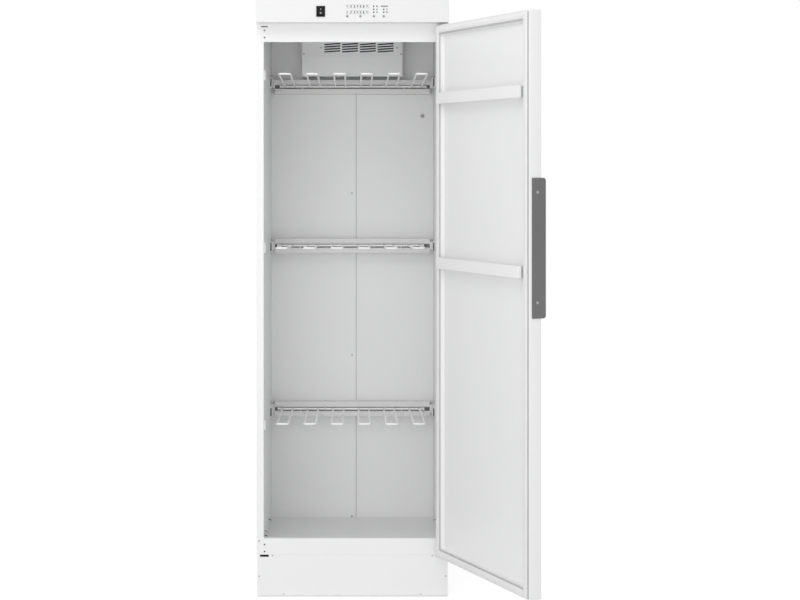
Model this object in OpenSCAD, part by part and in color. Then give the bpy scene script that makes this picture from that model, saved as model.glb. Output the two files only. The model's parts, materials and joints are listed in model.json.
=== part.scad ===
// Tall steel drying cabinet on a plinth, with one hinged door, three fold-up hanging racks,
// two rails on the door and a fan and heater compartment in the top.
// The origin is on the floor under the middle of the carcass. The front faces -Y, and +X is
// to the right of a person in front of the cabinet.

/* [Cabinet] */
// Width of the cabinet
cab_w = 595; // [580:5:640]
// Depth of the carcass, without the door
cab_d = 575; // [560:5:640]
// Height of the cabinet above the floor
cab_h = 1850; // [1840:5:1900]
// Height of the plinth
plinth_h = 132; // [126:1:150]
// Height of the compartment above the inner ceiling
top_h = 90; // [88:1:96]
// Thickness of the side walls with their insulation
wall_t = 22; // [20:0.5:26]
// Depth behind the rear inner wall
rear_gap = 38; // [34:1:44]
// Sheet thickness of the panels and inner walls
sheet = 1; // [0.8:0.1:1.2]

/* [Front frame] */
// Sheet thickness of the front frame
frame_t = 1.2; // [1:0.1:1.6]
// Depth of the return round the opening
return_d = 20; // [16:1:26]
// Height of the sill above the plinth
sill_h = 48.7; // [48:0.1:60]
// Height of the header under the top panel
header_h = 128; // [120:1:134]
// Height of the inner floor above the plinth
floor_rise = 6; // [2.5:0.5:7]

/* [Plinth] */
// Wall of the base frame
base_t = 1.5; // [1.2:0.1:2]
// How far the kick plate stops short of the cabinet's side
kick_inset = 2; // [1:0.5:4]
// Gap under the kick plate
kick_gap = 2; // [1:0.5:4]
// Height of the folded hem on the kick plate
hem_h = 8; // [6:1:9]
// Radius of a foot's pad
foot_r = 20; // [16:1:22]
// Thickness of a foot's pad
foot_t = 8; // [6:1:8]
// Radius of a foot's stud
stud_r = 5; // [4:0.5:6]
// Distance from the plinth's corner to a foot's middle
foot_inset = 26; // [24:1:30]

/* [Inner walls] */
// How far the left rear sheet passes the middle
lap_left = 12; // [8:1:16]
// How far the right rear sheet passes the middle
lap_right = 15; // [10:1:20]
// Length of an air louvre low in the side walls
louvre_l = 20; // [14:1:26]
// How far an air louvre stands into the room
louvre_out = 9; // [7:0.5:12]
// Height of an air louvre's mouth
mouth_h = 4; // [3:0.5:6]
// How far an air louvre falls towards the room
louvre_fall = 5; // [2:0.5:7]
// Height of the lower air louvres above the inner floor
louvre_rise = 37; // [24:1:44]
// Distance from a lower air louvre to the one above it
louvre_up = 14.5; // [14:0.5:20]
// Distance of the front air louvres from the wall's front edge
louvre_front = 62.5; // [50:0.5:140]
// Distance of the rear air louvre from the rear wall
louvre_back = 204.5; // [60:0.5:240]
// Height of the lowest seam screw above the inner floor
seam_foot = 4; // [4:0.5:40]
// Height of the second seam screw above the inner floor
seam_first = 554; // [400:1:600]
// Distance from the second seam screw to the third
seam_step = 552; // [400:1:600]
// Height of a wall buffer
buffer_h = 30; // [20:1:40]
// Depth of a wall buffer from front to back
buffer_d = 20; // [14:1:26]
// Thickness of a wall buffer
buffer_t = 4.7; // [3:0.1:8]
// Depth of the sensor below the inner ceiling
sensor_drop = 252; // [225:5:460]
// Distance of the sensor from the side wall
sensor_inset = 36.5; // [20.5:1:75.5]
// Radius of the sensor's cap
sensor_r = 6.5; // [5:0.5:9]

/* [Duct cover] */
// Width of the duct cover
duct_w = 337; // [320:1:380]
// Height of the duct cover
duct_h = 121; // [112:1:126]
// Depth of the duct cover
duct_d = 85; // [80:1:100]
// Height of the set-back upper part of the cover
duct_step_h = 52; // [50:1:56]
// How far the upper part is set back
duct_step = 2; // [1:0.5:3]
// Width of the grille plate
grille_w = 268; // [260:1:276]
// Distance of the grille's middle from the cabinet's middle
grille_x = 22; // [15:1:24]
// Height of the grille plate
grille_h = 46; // [42:1:48]
// Thickness of the grille plate
grille_t = 1.5; // [1:0.1:1.9]
// Length of a grille slot
slot_l = 53.5; // [45:0.5:56]
// Width of a grille slot
slot_w = 4.4; // [3:0.2:6]
// Slant of the grille slots, in degrees
slot_tilt = 4; // [0:1:6]
// Radius of the heater's tube
heater_r = 4; // [3:0.5:5]
// Length of a heater loop
heater_l = 220; // [180:5:240]

/* [Fan and exhaust] */
// Distance of the fan from the cabinet's middle
fan_x = 21; // [0:1:22]
// Radius of the fan wheel
wheel_r = 62; // [56:1:64]
// Height of the fan wheel
wheel_h = 50; // [40:1:52]
// Number of blades
blades = 24; // [16:2:32]
// Radius of the fan's inlet
inlet_r = 36; // [30:1:40]
// Height of the scroll
scroll_h = 62; // [60:1:64]
// Gap between the wheel and the scroll's inside
wheel_gap = 13; // [11:0.5:14]
// Wall of the fan housing
housing_t = 1.2; // [1:0.1:1.5]
// Radius of the motor
motor_r = 38; // [32:1:42]
// Height of the motor
motor_h = 22; // [18:1:22]
// Radius of the fan's shaft
shaft_r = 4; // [3:0.5:5]
// Outer radius of the exhaust collar, for a 125 mm duct
collar_r = 62.5; // [50:0.5:62.5]
// Height of the exhaust collar above the top panel
collar_h = 30; // [25:1:40]
// Distance of the exhaust collar from the cabinet's side
collar_inset = 122.5; // [110:0.5:124]
// Radius of the hole in the cable gland
gland_r = 4; // [3:0.5:5]
// Distance of the cable gland from the cabinet's side
gland_inset = 97.5; // [60:2.5:115]
// Width of a cooling slot in the rear panel
cool_w = 60; // [50:1:66]
// Height of a cooling slot
cool_h = 4; // [3:0.5:5]
// Distance from one cooling slot to the next above it
cool_pitch = 10; // [9:0.5:12]

/* [Controls] */
// Height of the fascia
fascia_h = 71.4; // [70:0.1:76]
// Depth of the fascia
fascia_d = 42; // [38:1:50]
// Sheet thickness of the fascia
fascia_t = 1.2; // [1:0.1:1.6]
// Distance of the power switch from the middle
switch_x = -97.6; // [-200:1:-60]
// Height of the power switch's middle above the fascia's lower edge
switch_rise = 33.2; // [32:0.2:36]
// Width of the switch's bezel
switch_w = 27; // [25:0.5:30]
// Height of the switch's bezel
switch_h = 33; // [32:0.5:36]
// Slant of the rocker to each side, in degrees
rocker_tilt = 7; // [4:0.5:7]
// Radius of a push button
button_r = 3.42; // [2.6:0.02:3.8]
// Height of the buttons above the fascia's lower edge
button_rise = 18.4; // [17:0.2:20]
// Stroke of a push button
button_stroke = 1.5; // [1:0.1:1.6]
// Width of an indicator window
window_w = 68.4; // [60:0.2:72]
// Height of an indicator window
window_h = 9.4; // [7:0.2:9.6]
// Height of the upper window's middle above the fascia's lower edge
window_top = 48.5; // [46:0.5:52]
// Height of the lower window's middle above the fascia's lower edge
window_low = 30.4; // [29:0.2:33]
// Radius of an indicator lamp
lamp_r = 1.5; // [1:0.1:2]

/* [Hanging racks] */
// Depth of the upper rack's rail below the inner ceiling
rail_drop_upper = 155; // [152:1:160]
// Height of the middle rack's rail above the inner floor
rail_rise_middle = 929; // [905:1:945]
// Height of the lower rack's rail above the inner floor
rail_rise_lower = 376; // [345:1:405]
// Height of a rail
rail_h = 48; // [44:1:56]
// Depth of a rail
rail_d = 40; // [34:1:48]
// Thickness of a rail's sheet
rail_t = 1.5; // [1.2:0.1:2]
// Height of the slot along a rail
rail_slot = 13; // [12:0.5:18]
// Gap between a rail's end and the side wall
rail_end_gap = 13; // [10:1:18]
// Radius of a rack's pivot rod
rod_r = 3.5; // [3:0.1:4]
// Radius of the arms' wire
wire_r = 3; // [2.5:0.1:3.2]
// Distance between the two wires of an arm
arm_w = 34.5; // [30:0.5:38]
// Distance from a rail's end to the middle of the outer arm
arm_edge = 48.75; // [45:0.25:68]
// Distance from a rail's end to the outer pivot lug
lug_edge = 22.25; // [20:0.25:24]
// Length of the arms from the rod to the bow
arm_l = 470; // [420:5:474]
// Slope of the arms up to the front, in degrees
arm_rise = 2.1; // [0:0.1:3]
// How much less the middle rack's arms slope, in degrees
middle_arm_sag = 0.6; // [0:0.1:1]
// Length of the rail's end brackets along the side wall
bracket_l = 124; // [100:1:160]
// Height of the bracket's channel
bracket_h = 30; // [26:1:36]
// How far the bracket's channel stands off the side wall
bracket_out = 7; // [6:0.5:8]
// How much higher than its rail the upper rail's bracket sits
upper_bracket_lift = 11; // [0:1:12]

/* [Door] */
// Angle that the door stands open at
door_angle = 112.8; // [0:0.2:120]
// Thickness of the door
door_t = 38; // [36:0.5:40]
// Gap between the closed door and the front frame
door_gap = 6.4; // [6.3:0.1:7]
// How far the door reaches below the top of the plinth
door_drop = 2.3; // [1:0.1:4]
// Gap between the door's top and the fascia
door_top_gap = 8.9; // [8:0.1:12]
// Width of the rim round the inner panel
rim_w = 31.4; // [30:0.2:34]
// How deep the inner panel lies in the rim
pan_depth = 8.2; // [6:0.2:10]
// Distance of the hinge pin from the cabinet's side
pin_inset = 13; // [12.5:0.1:14]
// Distance of the hinge pin from the front frame
pin_front = 28; // [28:0.1:29]
// Radius of the hinge pins
pin_r = 4; // [3:0.1:4.5]
// Thickness of the hinge plates
hinge_t = 3; // [2:0.1:3.5]
// Width of the seal
seal_w = 27; // [24:1:27]
// Height of the seal
seal_h = 6; // [4:0.1:6]
// Distance of the seal from the door's edge
seal_inset = 2; // [2:0.2:2.8]
// Depth of the door's upper rail below the door's top
door_rail_drop = 226.7; // [210:0.1:320]
// Height of the door's lower rail above the door's bottom
door_rail_rise = 909.3; // [820:0.1:914]
// Height of a door rail's strip
door_rail_h = 34; // [26:1:40]
// Gap between a door rail's end and the inner panel's side
door_rail_gap = 3.1; // [1.1:0.5:21.1]
// Distance from the inner panel to a door rail's outer face
door_rail_out = 26; // [22:1:28]
// Length of the handle
handle_l = 391; // [300:1:450]
// Width of the handle plate
handle_w = 43; // [36:0.5:50]
// Thickness of the handle plate
handle_t = 2.5; // [2:0.1:4]
// Height of the handle's lower end above the floor
handle_z = 911; // [850:1:1000]

/* [Hidden] */

$fn = 48;
EPS = 0.01;
// Clearances
fit = 0.05;
slip = 0.3;
screw_fit = 0.1;

WHITE = [0.94, 0.95, 0.95];
LINER = [0.86, 0.87, 0.87];
BLACK = [0.07, 0.07, 0.08];
DARK = [0.36, 0.37, 0.38];
STEEL = [0.72, 0.73, 0.74];
RUBBER = [0.9, 0.9, 0.89];
FOAM = [0.85, 0.8, 0.62];
COPPER = [0.45, 0.4, 0.36];

// Planes of the carcass
half_w = cab_w / 2;
y_front = -cab_d / 2;
y_back = cab_d / 2;
open_x = half_w - wall_t;
z_roof = cab_h - sheet;
z_ceiling = cab_h - top_h;
z_floor = plinth_h + floor_rise;
z_sill = plinth_h + sill_h;
z_header = z_roof - header_h;
y_inner = y_front + return_d;
y_rear = y_back - rear_gap;
flange_w = wall_t - 2 * sheet;

// Planes of the door when it is closed
door_back = y_front - door_gap;
door_front = door_back - door_t;
door_z0 = plinth_h - door_drop;
door_z1 = cab_h - fascia_h - door_top_gap;
pan_y = door_back - pan_depth;
pin_x = half_w - pin_inset;
pin_y = y_front - pin_front;

// A block between two opposite corners
module block(a, b) {
  translate(a) cube(b - a);
}

// A block that lies on both sides of the middle
module block_pair(a, b) {
  for (s = [0, 1]) mirror([s, 0, 0]) block(a, b);
}

// A round bar along Y
module bar_y(r, x, z, y0, y1, sides = 32) {
  translate([x, y0, z]) rotate([-90, 0, 0]) cylinder(r = r, h = y1 - y0, $fn = sides);
}

// A round bar along X
module bar_x(r, y, z, x0, x1, sides = 32) {
  translate([x0, y, z]) rotate([0, 90, 0]) cylinder(r = r, h = x1 - x0, $fn = sides);
}

// A flat frame in the XZ plane between two rectangles
module frame_xz(outer, hole, y0, y1) {
  difference() {
    block([outer[0], y0, outer[1]], [outer[2], y1, outer[3]]);
    block([hole[0], y0 - 1, hole[1]], [hole[2], y1 + 1, hole[3]]);
  }
}

// A rectangle grown to all sides
function grown(rect, d) = [rect[0] - d, rect[1] - d, rect[2] + d, rect[3] + d];

// A pan-head screw that points to +Y, with its head in front of the plane y
module screw_y(x, z, y, shank_l, head_r = 3, head_t = 1.5, shank_r = 1.6) {
  bar_y(head_r, x, z, y - head_t, y);
  bar_y(shank_r, x, z, y, y + shank_l, 24);
}

// ---- Plinth ----
base_x = half_w - kick_inset - sheet - 0.2;
base_y0 = y_front + sheet;
base_y1 = y_back - sheet - 1;
base_z = foot_t + 6;
skirt_z = kick_gap + hem_h + 2;
foot_x = base_x - foot_inset;
foot_y0 = base_y0 + foot_inset;
foot_y1 = base_y1 - foot_inset;
base_flange = foot_inset + 19;
bush_h = 30;
nut_h = 5;
hinge_notch_h = 15;
hinge_w = 27;
hinge_x1 = pin_x + 2.5;
hinge_x0 = hinge_x1 - hinge_w;
kick_x = half_w - kick_inset;
kick_z1 = plinth_h - slip;
kick_return = 20;
side_screw_in = 6.5;
side_screw_z = 63.6;
hem_screw_in = 83.5;
hem_screw_up = 6.5;
top_screw_in = 47.8;
top_screw_down = 4.2;
// Screws of the kick plate: distance from the middle, height and shank length
kick_screws = [[kick_x - side_screw_in, side_screw_z, 4],
  [kick_x - hem_screw_in, kick_gap + hem_screw_up, 2],
  [kick_x - top_screw_in, kick_z1 - top_screw_down, 4]];
tongue_z_low = door_z0 - 2 - hinge_t;
tongue_z_up = door_z1 + 0.8;

module at_feet() {
  for (x = [-foot_x, foot_x], y = [foot_y0, foot_y1]) translate([x, y, 0]) children();
}

module base_ring(z, w) {
  difference() {
    block([-base_x, base_y0, z], [base_x, base_y1, z + base_t]);
    block([-base_x + w, base_y0 + w, z - 1], [base_x - w, base_y1 - w, z + base_t + 1]);
  }
}

module base_frame() color(STEEL) difference() {
  union() {
    difference() {
      block([-base_x, base_y0, skirt_z], [base_x, base_y1, plinth_h]);
      block([-base_x + base_t, base_y0 + base_t, 0],
        [base_x - base_t, base_y1 - base_t, plinth_h + 1]);
    }
    base_ring(plinth_h - base_t, 25);
    base_ring(base_z, base_flange);
    at_feet() translate([0, 0, base_z]) cylinder(r = stud_r + 4, h = bush_h);
  }
  at_feet() cylinder(r = stud_r + fit, h = plinth_h - base_t - 1);
  block_pair([hinge_x0 - 2, base_y0 - 1, plinth_h - hinge_notch_h],
    [hinge_x1 + 2, base_y0 + hinge_t + 3, plinth_h + 1]);
  for (p = kick_screws, s = [-1, 1])
    bar_y(1.6 + screw_fit, s * p[0], p[1], base_y0 - 1, base_y0 + base_t + 1, 24);
}

module levelling_feet() color(BLACK) at_feet() {
  cylinder(r = foot_r, h = foot_t - 2);
  translate([0, 0, foot_t - 2]) cylinder(r1 = foot_r, r2 = stud_r + 6, h = 2);
  cylinder(r = stud_r, h = base_z + bush_h + 12);
  translate([0, 0, foot_t]) cylinder(r = stud_r + 4, h = nut_h, $fn = 6);
}

module kick_plate() color(WHITE) difference() {
  union() {
    block([-kick_x, y_front, kick_gap], [kick_x, y_front + sheet, kick_z1]);
    block_pair([kick_x - sheet, y_front, kick_gap], [kick_x, y_front + kick_return, kick_z1]);
    block([-kick_x + 30, y_front + sheet, kick_gap],
      [kick_x - 30, y_front + 2 * sheet, kick_gap + hem_h]);
  }
  block_pair([hinge_x0 - 0.7, y_front - 1, tongue_z_low - 1],
    [hinge_x1 - 0.4, y_front + sheet + 1, tongue_z_low + hinge_t + 2.6]);
  for (p = kick_screws, s = [-1, 1])
    bar_y(1.6 + screw_fit, s * p[0], p[1], y_front - 1, y_front + 2 * sheet + 1, 24);
}

module kick_plate_screws() color(STEEL) for (p = kick_screws, s = [-1, 1])
  screw_y(s * p[0], p[1], y_front, p[2] - 0.2, 2.6, 1.2);

// ---- Front frame ----
hinge_screw_x = hinge_x0 + 12.5;
hinge_screw_r = 4;
hinge_shank_r = 2.4;
up_screw_z = [tongue_z_up - 13.9, tongue_z_up - 35.9];
low_screw_z = [tongue_z_low + 15.5, tongue_z_low + 37.2];
up_slot = [hinge_x0 + 2.7, tongue_z_up - 4, hinge_x1 - 3.5, tongue_z_up + hinge_t + 0.3];

// The holes and the slot of one hinge side, with the given radius of the screw holes
module hinge_holes(r) {
  for (z = concat(up_screw_z, low_screw_z))
    bar_y(r, hinge_screw_x, z, y_front - 1, y_front + frame_t + 1);
  block([up_slot[0], y_front - 1, up_slot[1]], [up_slot[2], y_front + frame_t + 1, up_slot[3]]);
}

module front_frame() color(WHITE) difference() {
  union() {
    frame_xz([-half_w, plinth_h, half_w, z_roof], [-open_x, z_sill, open_x, z_header],
      y_front, y_front + frame_t);
    frame_xz([-open_x - sheet, z_sill - sheet, open_x + sheet, z_header + sheet],
      [-open_x, z_sill, open_x, z_header], y_front, y_inner);
    block([-open_x - sheet, y_inner - sheet, z_header], [open_x + sheet, y_inner, z_ceiling]);
    block([-open_x - sheet, y_inner - sheet, z_floor], [open_x + sheet, y_inner, z_sill]);
  }
  hinge_holes(hinge_screw_r + fit);
  mirror([1, 0, 0]) hinge_holes(hinge_shank_r + screw_fit);
  bar_y(2, -half_w + 8.1, z_sill - 7.7, y_front - 1, y_front + frame_t + 1, 24);
}

// ---- Outer panels ----
corner_w = 8;
fix_inset = 97.5;
fix_x = half_w - fix_inset;
fix_r = 3;
fix_drop = 10;
gland_x = gland_inset - half_w;
gland_z = z_roof - 39;
gland_thread_r = gland_r + 2;
cool_x = [-150, -75];
cool_rows = 5;
cool_drop = 70;

module side_panel() color(WHITE) union() {
  y0 = y_front + frame_t;
  y1 = y_back - sheet;
  block([half_w - sheet, y0, plinth_h], [half_w, y1, z_roof]);
  block([half_w - sheet - corner_w, y0, plinth_h], [half_w - sheet + EPS, y0 + sheet, z_roof]);
  block([half_w - sheet - flange_w, y1 - sheet, plinth_h], [half_w - sheet + EPS, y1, z_roof]);
  block([half_w - sheet - flange_w, y0 + 10, plinth_h],
    [half_w - sheet + EPS, y1 - EPS, plinth_h + sheet]);
  block([half_w - sheet - 12, y0 + EPS, z_roof - sheet], [half_w - sheet + EPS, y1 - EPS, z_roof]);
}

module right_side_panel() side_panel();
module left_side_panel() mirror([1, 0, 0]) side_panel();

module top_panel() color(WHITE) difference() {
  block([-half_w, y_front, z_roof], [half_w, y_back, cab_h]);
  translate([collar_x, collar_y, z_roof - 1])
    cylinder(r = spigot_r + spigot_gap, h = sheet + 2, $fn = 96);
}

module rear_panel() color(WHITE) difference() {
  block([-half_w, y_back - sheet, plinth_h], [half_w, y_back, z_roof]);
  bar_y(gland_thread_r + screw_fit, gland_x, gland_z, y_back - sheet - 1, y_back + 1);
  for (x = [-fix_x, fix_x])
    bar_y(fix_r, x, z_roof - fix_drop, y_back - sheet - 1, y_back + 1);
  for (i = [0 : cool_rows - 1], x = cool_x)
    block([x, y_back - sheet - 1, z_roof - cool_drop + cool_pitch * i],
      [x + cool_w, y_back + 1, z_roof - cool_drop + cool_pitch * i + cool_h]);
}

// ---- Inner walls ----
// Places of the air louvres: distance from the front, and height
louvre_places = [[y_inner + louvre_front, z_floor + louvre_rise],
  [y_inner + louvre_front, z_floor + louvre_rise + louvre_up],
  [y_rear - louvre_back, z_floor + louvre_rise]];
louvre_wall = 0.7;
seam_x = (lap_left - lap_right) / 2;
seam_z = [z_floor + seam_foot, z_floor + seam_first, z_floor + seam_first + seam_step];
rail_z = [z_ceiling - rail_drop_upper, z_floor + rail_rise_middle, z_floor + rail_rise_lower];
bracket_z = [rail_z[0] + upper_bracket_lift, rail_z[1], rail_z[2]];
bracket_screw_y = y_rear - 12;
bracket_screw_z = 7;
sensor_x = open_x - sensor_inset;
sensor_z = z_ceiling - sensor_drop;

// The slanted outline of an air louvre seen from the front, drawn in by d
module louvre_shape(d, reach) {
  polygon([[open_x + reach, mouth_h / 2 - d], [open_x - louvre_out + d, mouth_h / 2 - d - louvre_fall],
    [open_x - louvre_out + d, d - mouth_h / 2 - louvre_fall], [open_x + reach, d - mouth_h / 2]]);
}

// The space of an air louvre, from its mouth at the front to the back
module louvre_body(place, d, reach, back) {
  translate([0, place[0] + louvre_l - back, place[1]]) rotate([90, 0, 0])
    linear_extrude(louvre_l - back + d) louvre_shape(d, reach);
}

module inner_wall() color(LINER) difference() {
  union() {
    block([open_x, y_inner, z_floor], [open_x + sheet, y_rear, z_ceiling]);
    for (p = louvre_places) louvre_body(p, 0, sheet / 2, 0);
  }
  for (p = louvre_places) louvre_body(p, louvre_wall, 2 * sheet, louvre_wall);
  for (z = bracket_z, d = [-bracket_screw_z, bracket_screw_z])
    bar_x(1.6 + screw_fit, bracket_screw_y, z + d, open_x - 1, open_x + sheet + 1, 24);
}

module right_inner_wall() inner_wall();
module left_inner_wall() mirror([1, 0, 0]) inner_wall();

module rear_inner_wall_left() color(LINER) difference() {
  block([-open_x - sheet, y_rear, z_floor], [lap_left, y_rear + sheet, z_ceiling]);
  for (z = seam_z) bar_y(1.6 + screw_fit, seam_x, z, y_rear - 1, y_rear + sheet + 1, 24);
}

module rear_inner_wall_right() color(LINER) difference() {
  block([-lap_right, y_rear + sheet, z_floor], [open_x + sheet, y_rear + 2 * sheet, z_ceiling]);
  for (z = seam_z)
    bar_y(1.6 + screw_fit, seam_x, z, y_rear + sheet - 1, y_rear + 2 * sheet + 1, 24);
  bar_y(sensor_r - 2.4, sensor_x, sensor_z, y_rear, y_rear + 2 * sheet + 1);
}

module seam_screws() color(STEEL) for (z = seam_z)
  screw_y(seam_x, z, y_rear, 2 * sheet, 3.2, 1.6);

module floor_pan() color(LINER)
  block([-open_x - sheet, y_inner - sheet, z_floor - sheet],
    [open_x + sheet, y_rear + 2 * sheet, z_floor]);

module inner_ceiling() color(LINER) difference() {
  block([-open_x - sheet, y_inner - sheet, z_ceiling],
    [open_x + sheet, y_rear + 2 * sheet, z_ceiling + sheet]);
  translate([fan_x, fan_y, z_ceiling - 1]) cylinder(r = inlet_r, h = sheet + 2, $fn = 72);
}

module side_insulation() color(FOAM) for (s = [0, 1]) mirror([s, 0, 0]) difference() {
  block([open_x + sheet, y_inner, z_floor], [half_w - sheet, y_rear, z_ceiling]);
  for (p = louvre_places)
    block([open_x, p[0] - 5, p[1] - 10], [open_x + sheet + 5, p[0] + louvre_l + 5, p[1] + 10]);
}

module rear_insulation() color(FOAM) difference() {
  block([-open_x + 20, y_rear + 2 * sheet, z_floor], [open_x - 20, y_back - 2 * sheet, z_ceiling]);
  bar_y(sensor_r, sensor_x, sensor_z, y_rear, y_rear + 20);
}

module humidity_sensor() color(STEEL) {
  y = y_rear + sheet;
  bar_y(sensor_r, sensor_x, sensor_z, y - 3, y);
  bar_y(sensor_r - 2.5, sensor_x, sensor_z, y, y + 12);
}

module wall_buffers() color(WHITE) for (z = rail_z) {
  y0 = y_inner + 5;
  z0 = z - 1;
  block_pair([open_x - buffer_t, y0, z0], [open_x, y0 + buffer_d, z0 + buffer_h]);
}

// ---- Duct cover, grille and heater ----
duct_x = duct_w / 2;
duct_y = y_rear - duct_d;
duct_z0 = z_ceiling - duct_h;
duct_upper_y = duct_y + duct_step;
duct_step_z = z_ceiling - duct_step_h;
grille_y = duct_upper_y - grille_t;
grille_z = z_ceiling - duct_step_h / 2 + 1;
duct_screw_z = duct_step_z + 6;
grille_screw_x = grille_w / 2 - 6;
slot_pitch_x = slot_l + 6.2;
slot_pitch_z = 8.2;
loop_w = 34;
loop_pitch = 30;
heater_y0 = duct_upper_y + 22;
heater_z = duct_z0 + 30;

module duct_cover() color(LINER) difference() {
  union() {
    block([-duct_x, duct_y, duct_z0], [duct_x, duct_y + sheet, duct_step_z]);
    block([-duct_x, duct_y, duct_step_z - sheet], [duct_x, duct_upper_y + sheet, duct_step_z]);
    block([-duct_x, duct_upper_y, duct_step_z - sheet], [duct_x, duct_upper_y + sheet, z_ceiling]);
    block_pair([duct_x - sheet, duct_upper_y, duct_z0], [duct_x, y_rear, z_ceiling]);
    block([-duct_x, duct_y, duct_z0], [duct_x, y_rear, duct_z0 + sheet]);
  }
  block([grille_x - grille_w / 2 + 14, duct_y, grille_z - grille_h / 2 + 4],
    [grille_x + grille_w / 2 - 14, duct_upper_y + sheet + 1, grille_z + grille_h / 2 - 4]);
  for (x = [-grille_screw_x, grille_screw_x])
    bar_y(1.6 + screw_fit, grille_x + x, grille_z, duct_y, duct_upper_y + sheet + 1, 24);
  for (x = [-duct_x + 5, duct_x - 5])
    bar_y(1.6 + screw_fit, x, duct_screw_z, duct_y, duct_upper_y + sheet + 1, 24);
  for (i = [-4 : 4]) translate([i * 32, y_rear - duct_d / 2, duct_z0])
    cube([22, 40, 4 * sheet], center = true);
}

module intake_grille() color(LINER) difference() {
  block([grille_x - grille_w / 2, grille_y, grille_z - grille_h / 2],
    [grille_x + grille_w / 2, duct_upper_y, grille_z + grille_h / 2]);
  for (i = [-1.5 : 1.5], j = [-1.5 : 1.5])
    translate([grille_x + i * slot_pitch_x, duct_upper_y, grille_z + j * slot_pitch_z])
      rotate([0, -slot_tilt, 0]) cube([slot_l, 4 * grille_t, slot_w], center = true);
  for (x = [-grille_screw_x, grille_screw_x])
    bar_y(1.6 + screw_fit, grille_x + x, grille_z, grille_y - 1, duct_upper_y + 1, 24);
}

module cover_screws() color(STEEL) {
  for (x = [-grille_screw_x, grille_screw_x])
    screw_y(grille_x + x, grille_z, grille_y, grille_t + sheet + 2, 3, 1.4);
  for (x = [-duct_x + 5, duct_x - 5])
    screw_y(x, duct_screw_z, duct_upper_y, sheet + 2, 2.6, 1.4);
}

// One hairpin of the heater, lying flat, with its bend to the right
module heater_loop() {
  x1 = heater_l / 2;
  for (y = [0, loop_w]) bar_x(heater_r, y, 0, -x1 - 12, x1, 24);
  translate([x1, loop_w / 2, 0]) rotate([0, 0, -90]) rotate_extrude(angle = 180)
    translate([loop_w / 2, 0]) circle(r = heater_r, $fn = 24);
}

module heating_element() color(COPPER) {
  for (i = [0 : 2]) translate([0, heater_y0, heater_z + i * loop_pitch]) heater_loop();
  for (x = [-heater_l / 2 + 14, heater_l / 2 - 14])
    block([x, heater_y0 - 9, heater_z - 9], [x + 1.5, heater_y0 + loop_w + 9, z_ceiling]);
}

// ---- Fan, motor and exhaust ----
scroll_r = wheel_r + wheel_gap + housing_t;
fan_y = y_back - 5 - scroll_r;
housing_z0 = z_ceiling + sheet;
housing_z1 = housing_z0 + scroll_h;
outlet_half = collar_r + 5.5;
collar_y = fan_y + scroll_r - outlet_half;
outlet_z1 = z_roof - slip;
wheel_z0 = housing_z0 + housing_t + 3;
wheel_z1 = wheel_z0 + wheel_h;
blade_l = 12;
blade_t = 1;
blade_tilt = 40;
motor_bore_h = motor_h - 4;
collar_x = half_w - collar_inset;
collar_t = 1.2;
collar_flange = 12;
spigot_r = collar_r - 3;
spigot_gap = 0.2;

// The fan housing's outline, drawn in by d
module housing_shape(d) {
  translate([fan_x, fan_y, housing_z0 + d]) cylinder(r = scroll_r - d, h = scroll_h - 2 * d, $fn = 96);
  block([fan_x, fan_y + d, housing_z0 + d],
    [collar_x - outlet_half + 2 * d, fan_y + scroll_r - d, housing_z1 - d]);
  block([collar_x - outlet_half + d, collar_y - outlet_half + d, housing_z0 + d],
    [collar_x + outlet_half - d, collar_y + outlet_half - d, outlet_z1 - d]);
}

module fan_housing() color(STEEL) difference() {
  housing_shape(0);
  housing_shape(housing_t);
  translate([fan_x, fan_y, housing_z0 - 1]) cylinder(r = inlet_r, h = housing_t + 2, $fn = 72);
  translate([fan_x, fan_y, housing_z1 - housing_t - 1])
    cylinder(r = shaft_r + 4, h = housing_t + 2);
  translate([collar_x, collar_y, outlet_z1 - housing_t - 1])
    cylinder(r = spigot_r + spigot_gap, h = housing_t + 2, $fn = 96);
}

module fan_motor() color(DARK) difference() {
  translate([fan_x, fan_y, housing_z1]) {
    cylinder(r = motor_r, h = motor_h);
    cylinder(r = motor_r + 6, h = 1.5);
  }
  translate([fan_x, fan_y, housing_z1 - 1]) cylinder(r = shaft_r + fit, h = motor_bore_h + 1);
}

module fan_wheel() color(STEEL) translate([fan_x, fan_y, 0]) {
  translate([0, 0, wheel_z1 - 1.5]) cylinder(r = wheel_r, h = 1.5, $fn = 96);
  translate([0, 0, wheel_z0]) difference() {
    cylinder(r = wheel_r, h = 1.5, $fn = 96);
    translate([0, 0, -1]) cylinder(r = wheel_r - blade_l + 1, h = 4, $fn = 96);
  }
  for (i = [0 : blades - 1]) rotate([0, 0, i * 360 / blades]) translate([wheel_r - 5.4, 0, 0])
    rotate([0, 0, blade_tilt]) translate([-blade_l / 2, -blade_t / 2, wheel_z0 + 0.5])
      cube([blade_l, blade_t, wheel_h - 1]);
  translate([0, 0, wheel_z1 - 18]) cylinder(r = shaft_r + 6, h = 18);
  translate([0, 0, wheel_z1 - 18]) cylinder(r = shaft_r, h = housing_z1 + motor_bore_h - 1 - wheel_z1 + 18);
}

// Below its flange the collar narrows to a spigot that sits in the outlet
module exhaust_collar() color(STEEL) translate([collar_x, collar_y, 0]) difference() {
  union() {
    translate([0, 0, outlet_z1 - 4]) cylinder(r = spigot_r, h = cab_h - outlet_z1 + 4, $fn = 96);
    translate([0, 0, cab_h]) cylinder(r = collar_r + collar_flange, h = collar_t, $fn = 96);
    translate([0, 0, cab_h]) cylinder(r = collar_r, h = collar_h, $fn = 96);
  }
  translate([0, 0, outlet_z1 - 5])
    cylinder(r = spigot_r - collar_t, h = cab_h - outlet_z1 + 8, $fn = 96);
  translate([0, 0, cab_h + collar_t]) cylinder(r = collar_r - collar_t, h = collar_h, $fn = 96);
}

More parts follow.
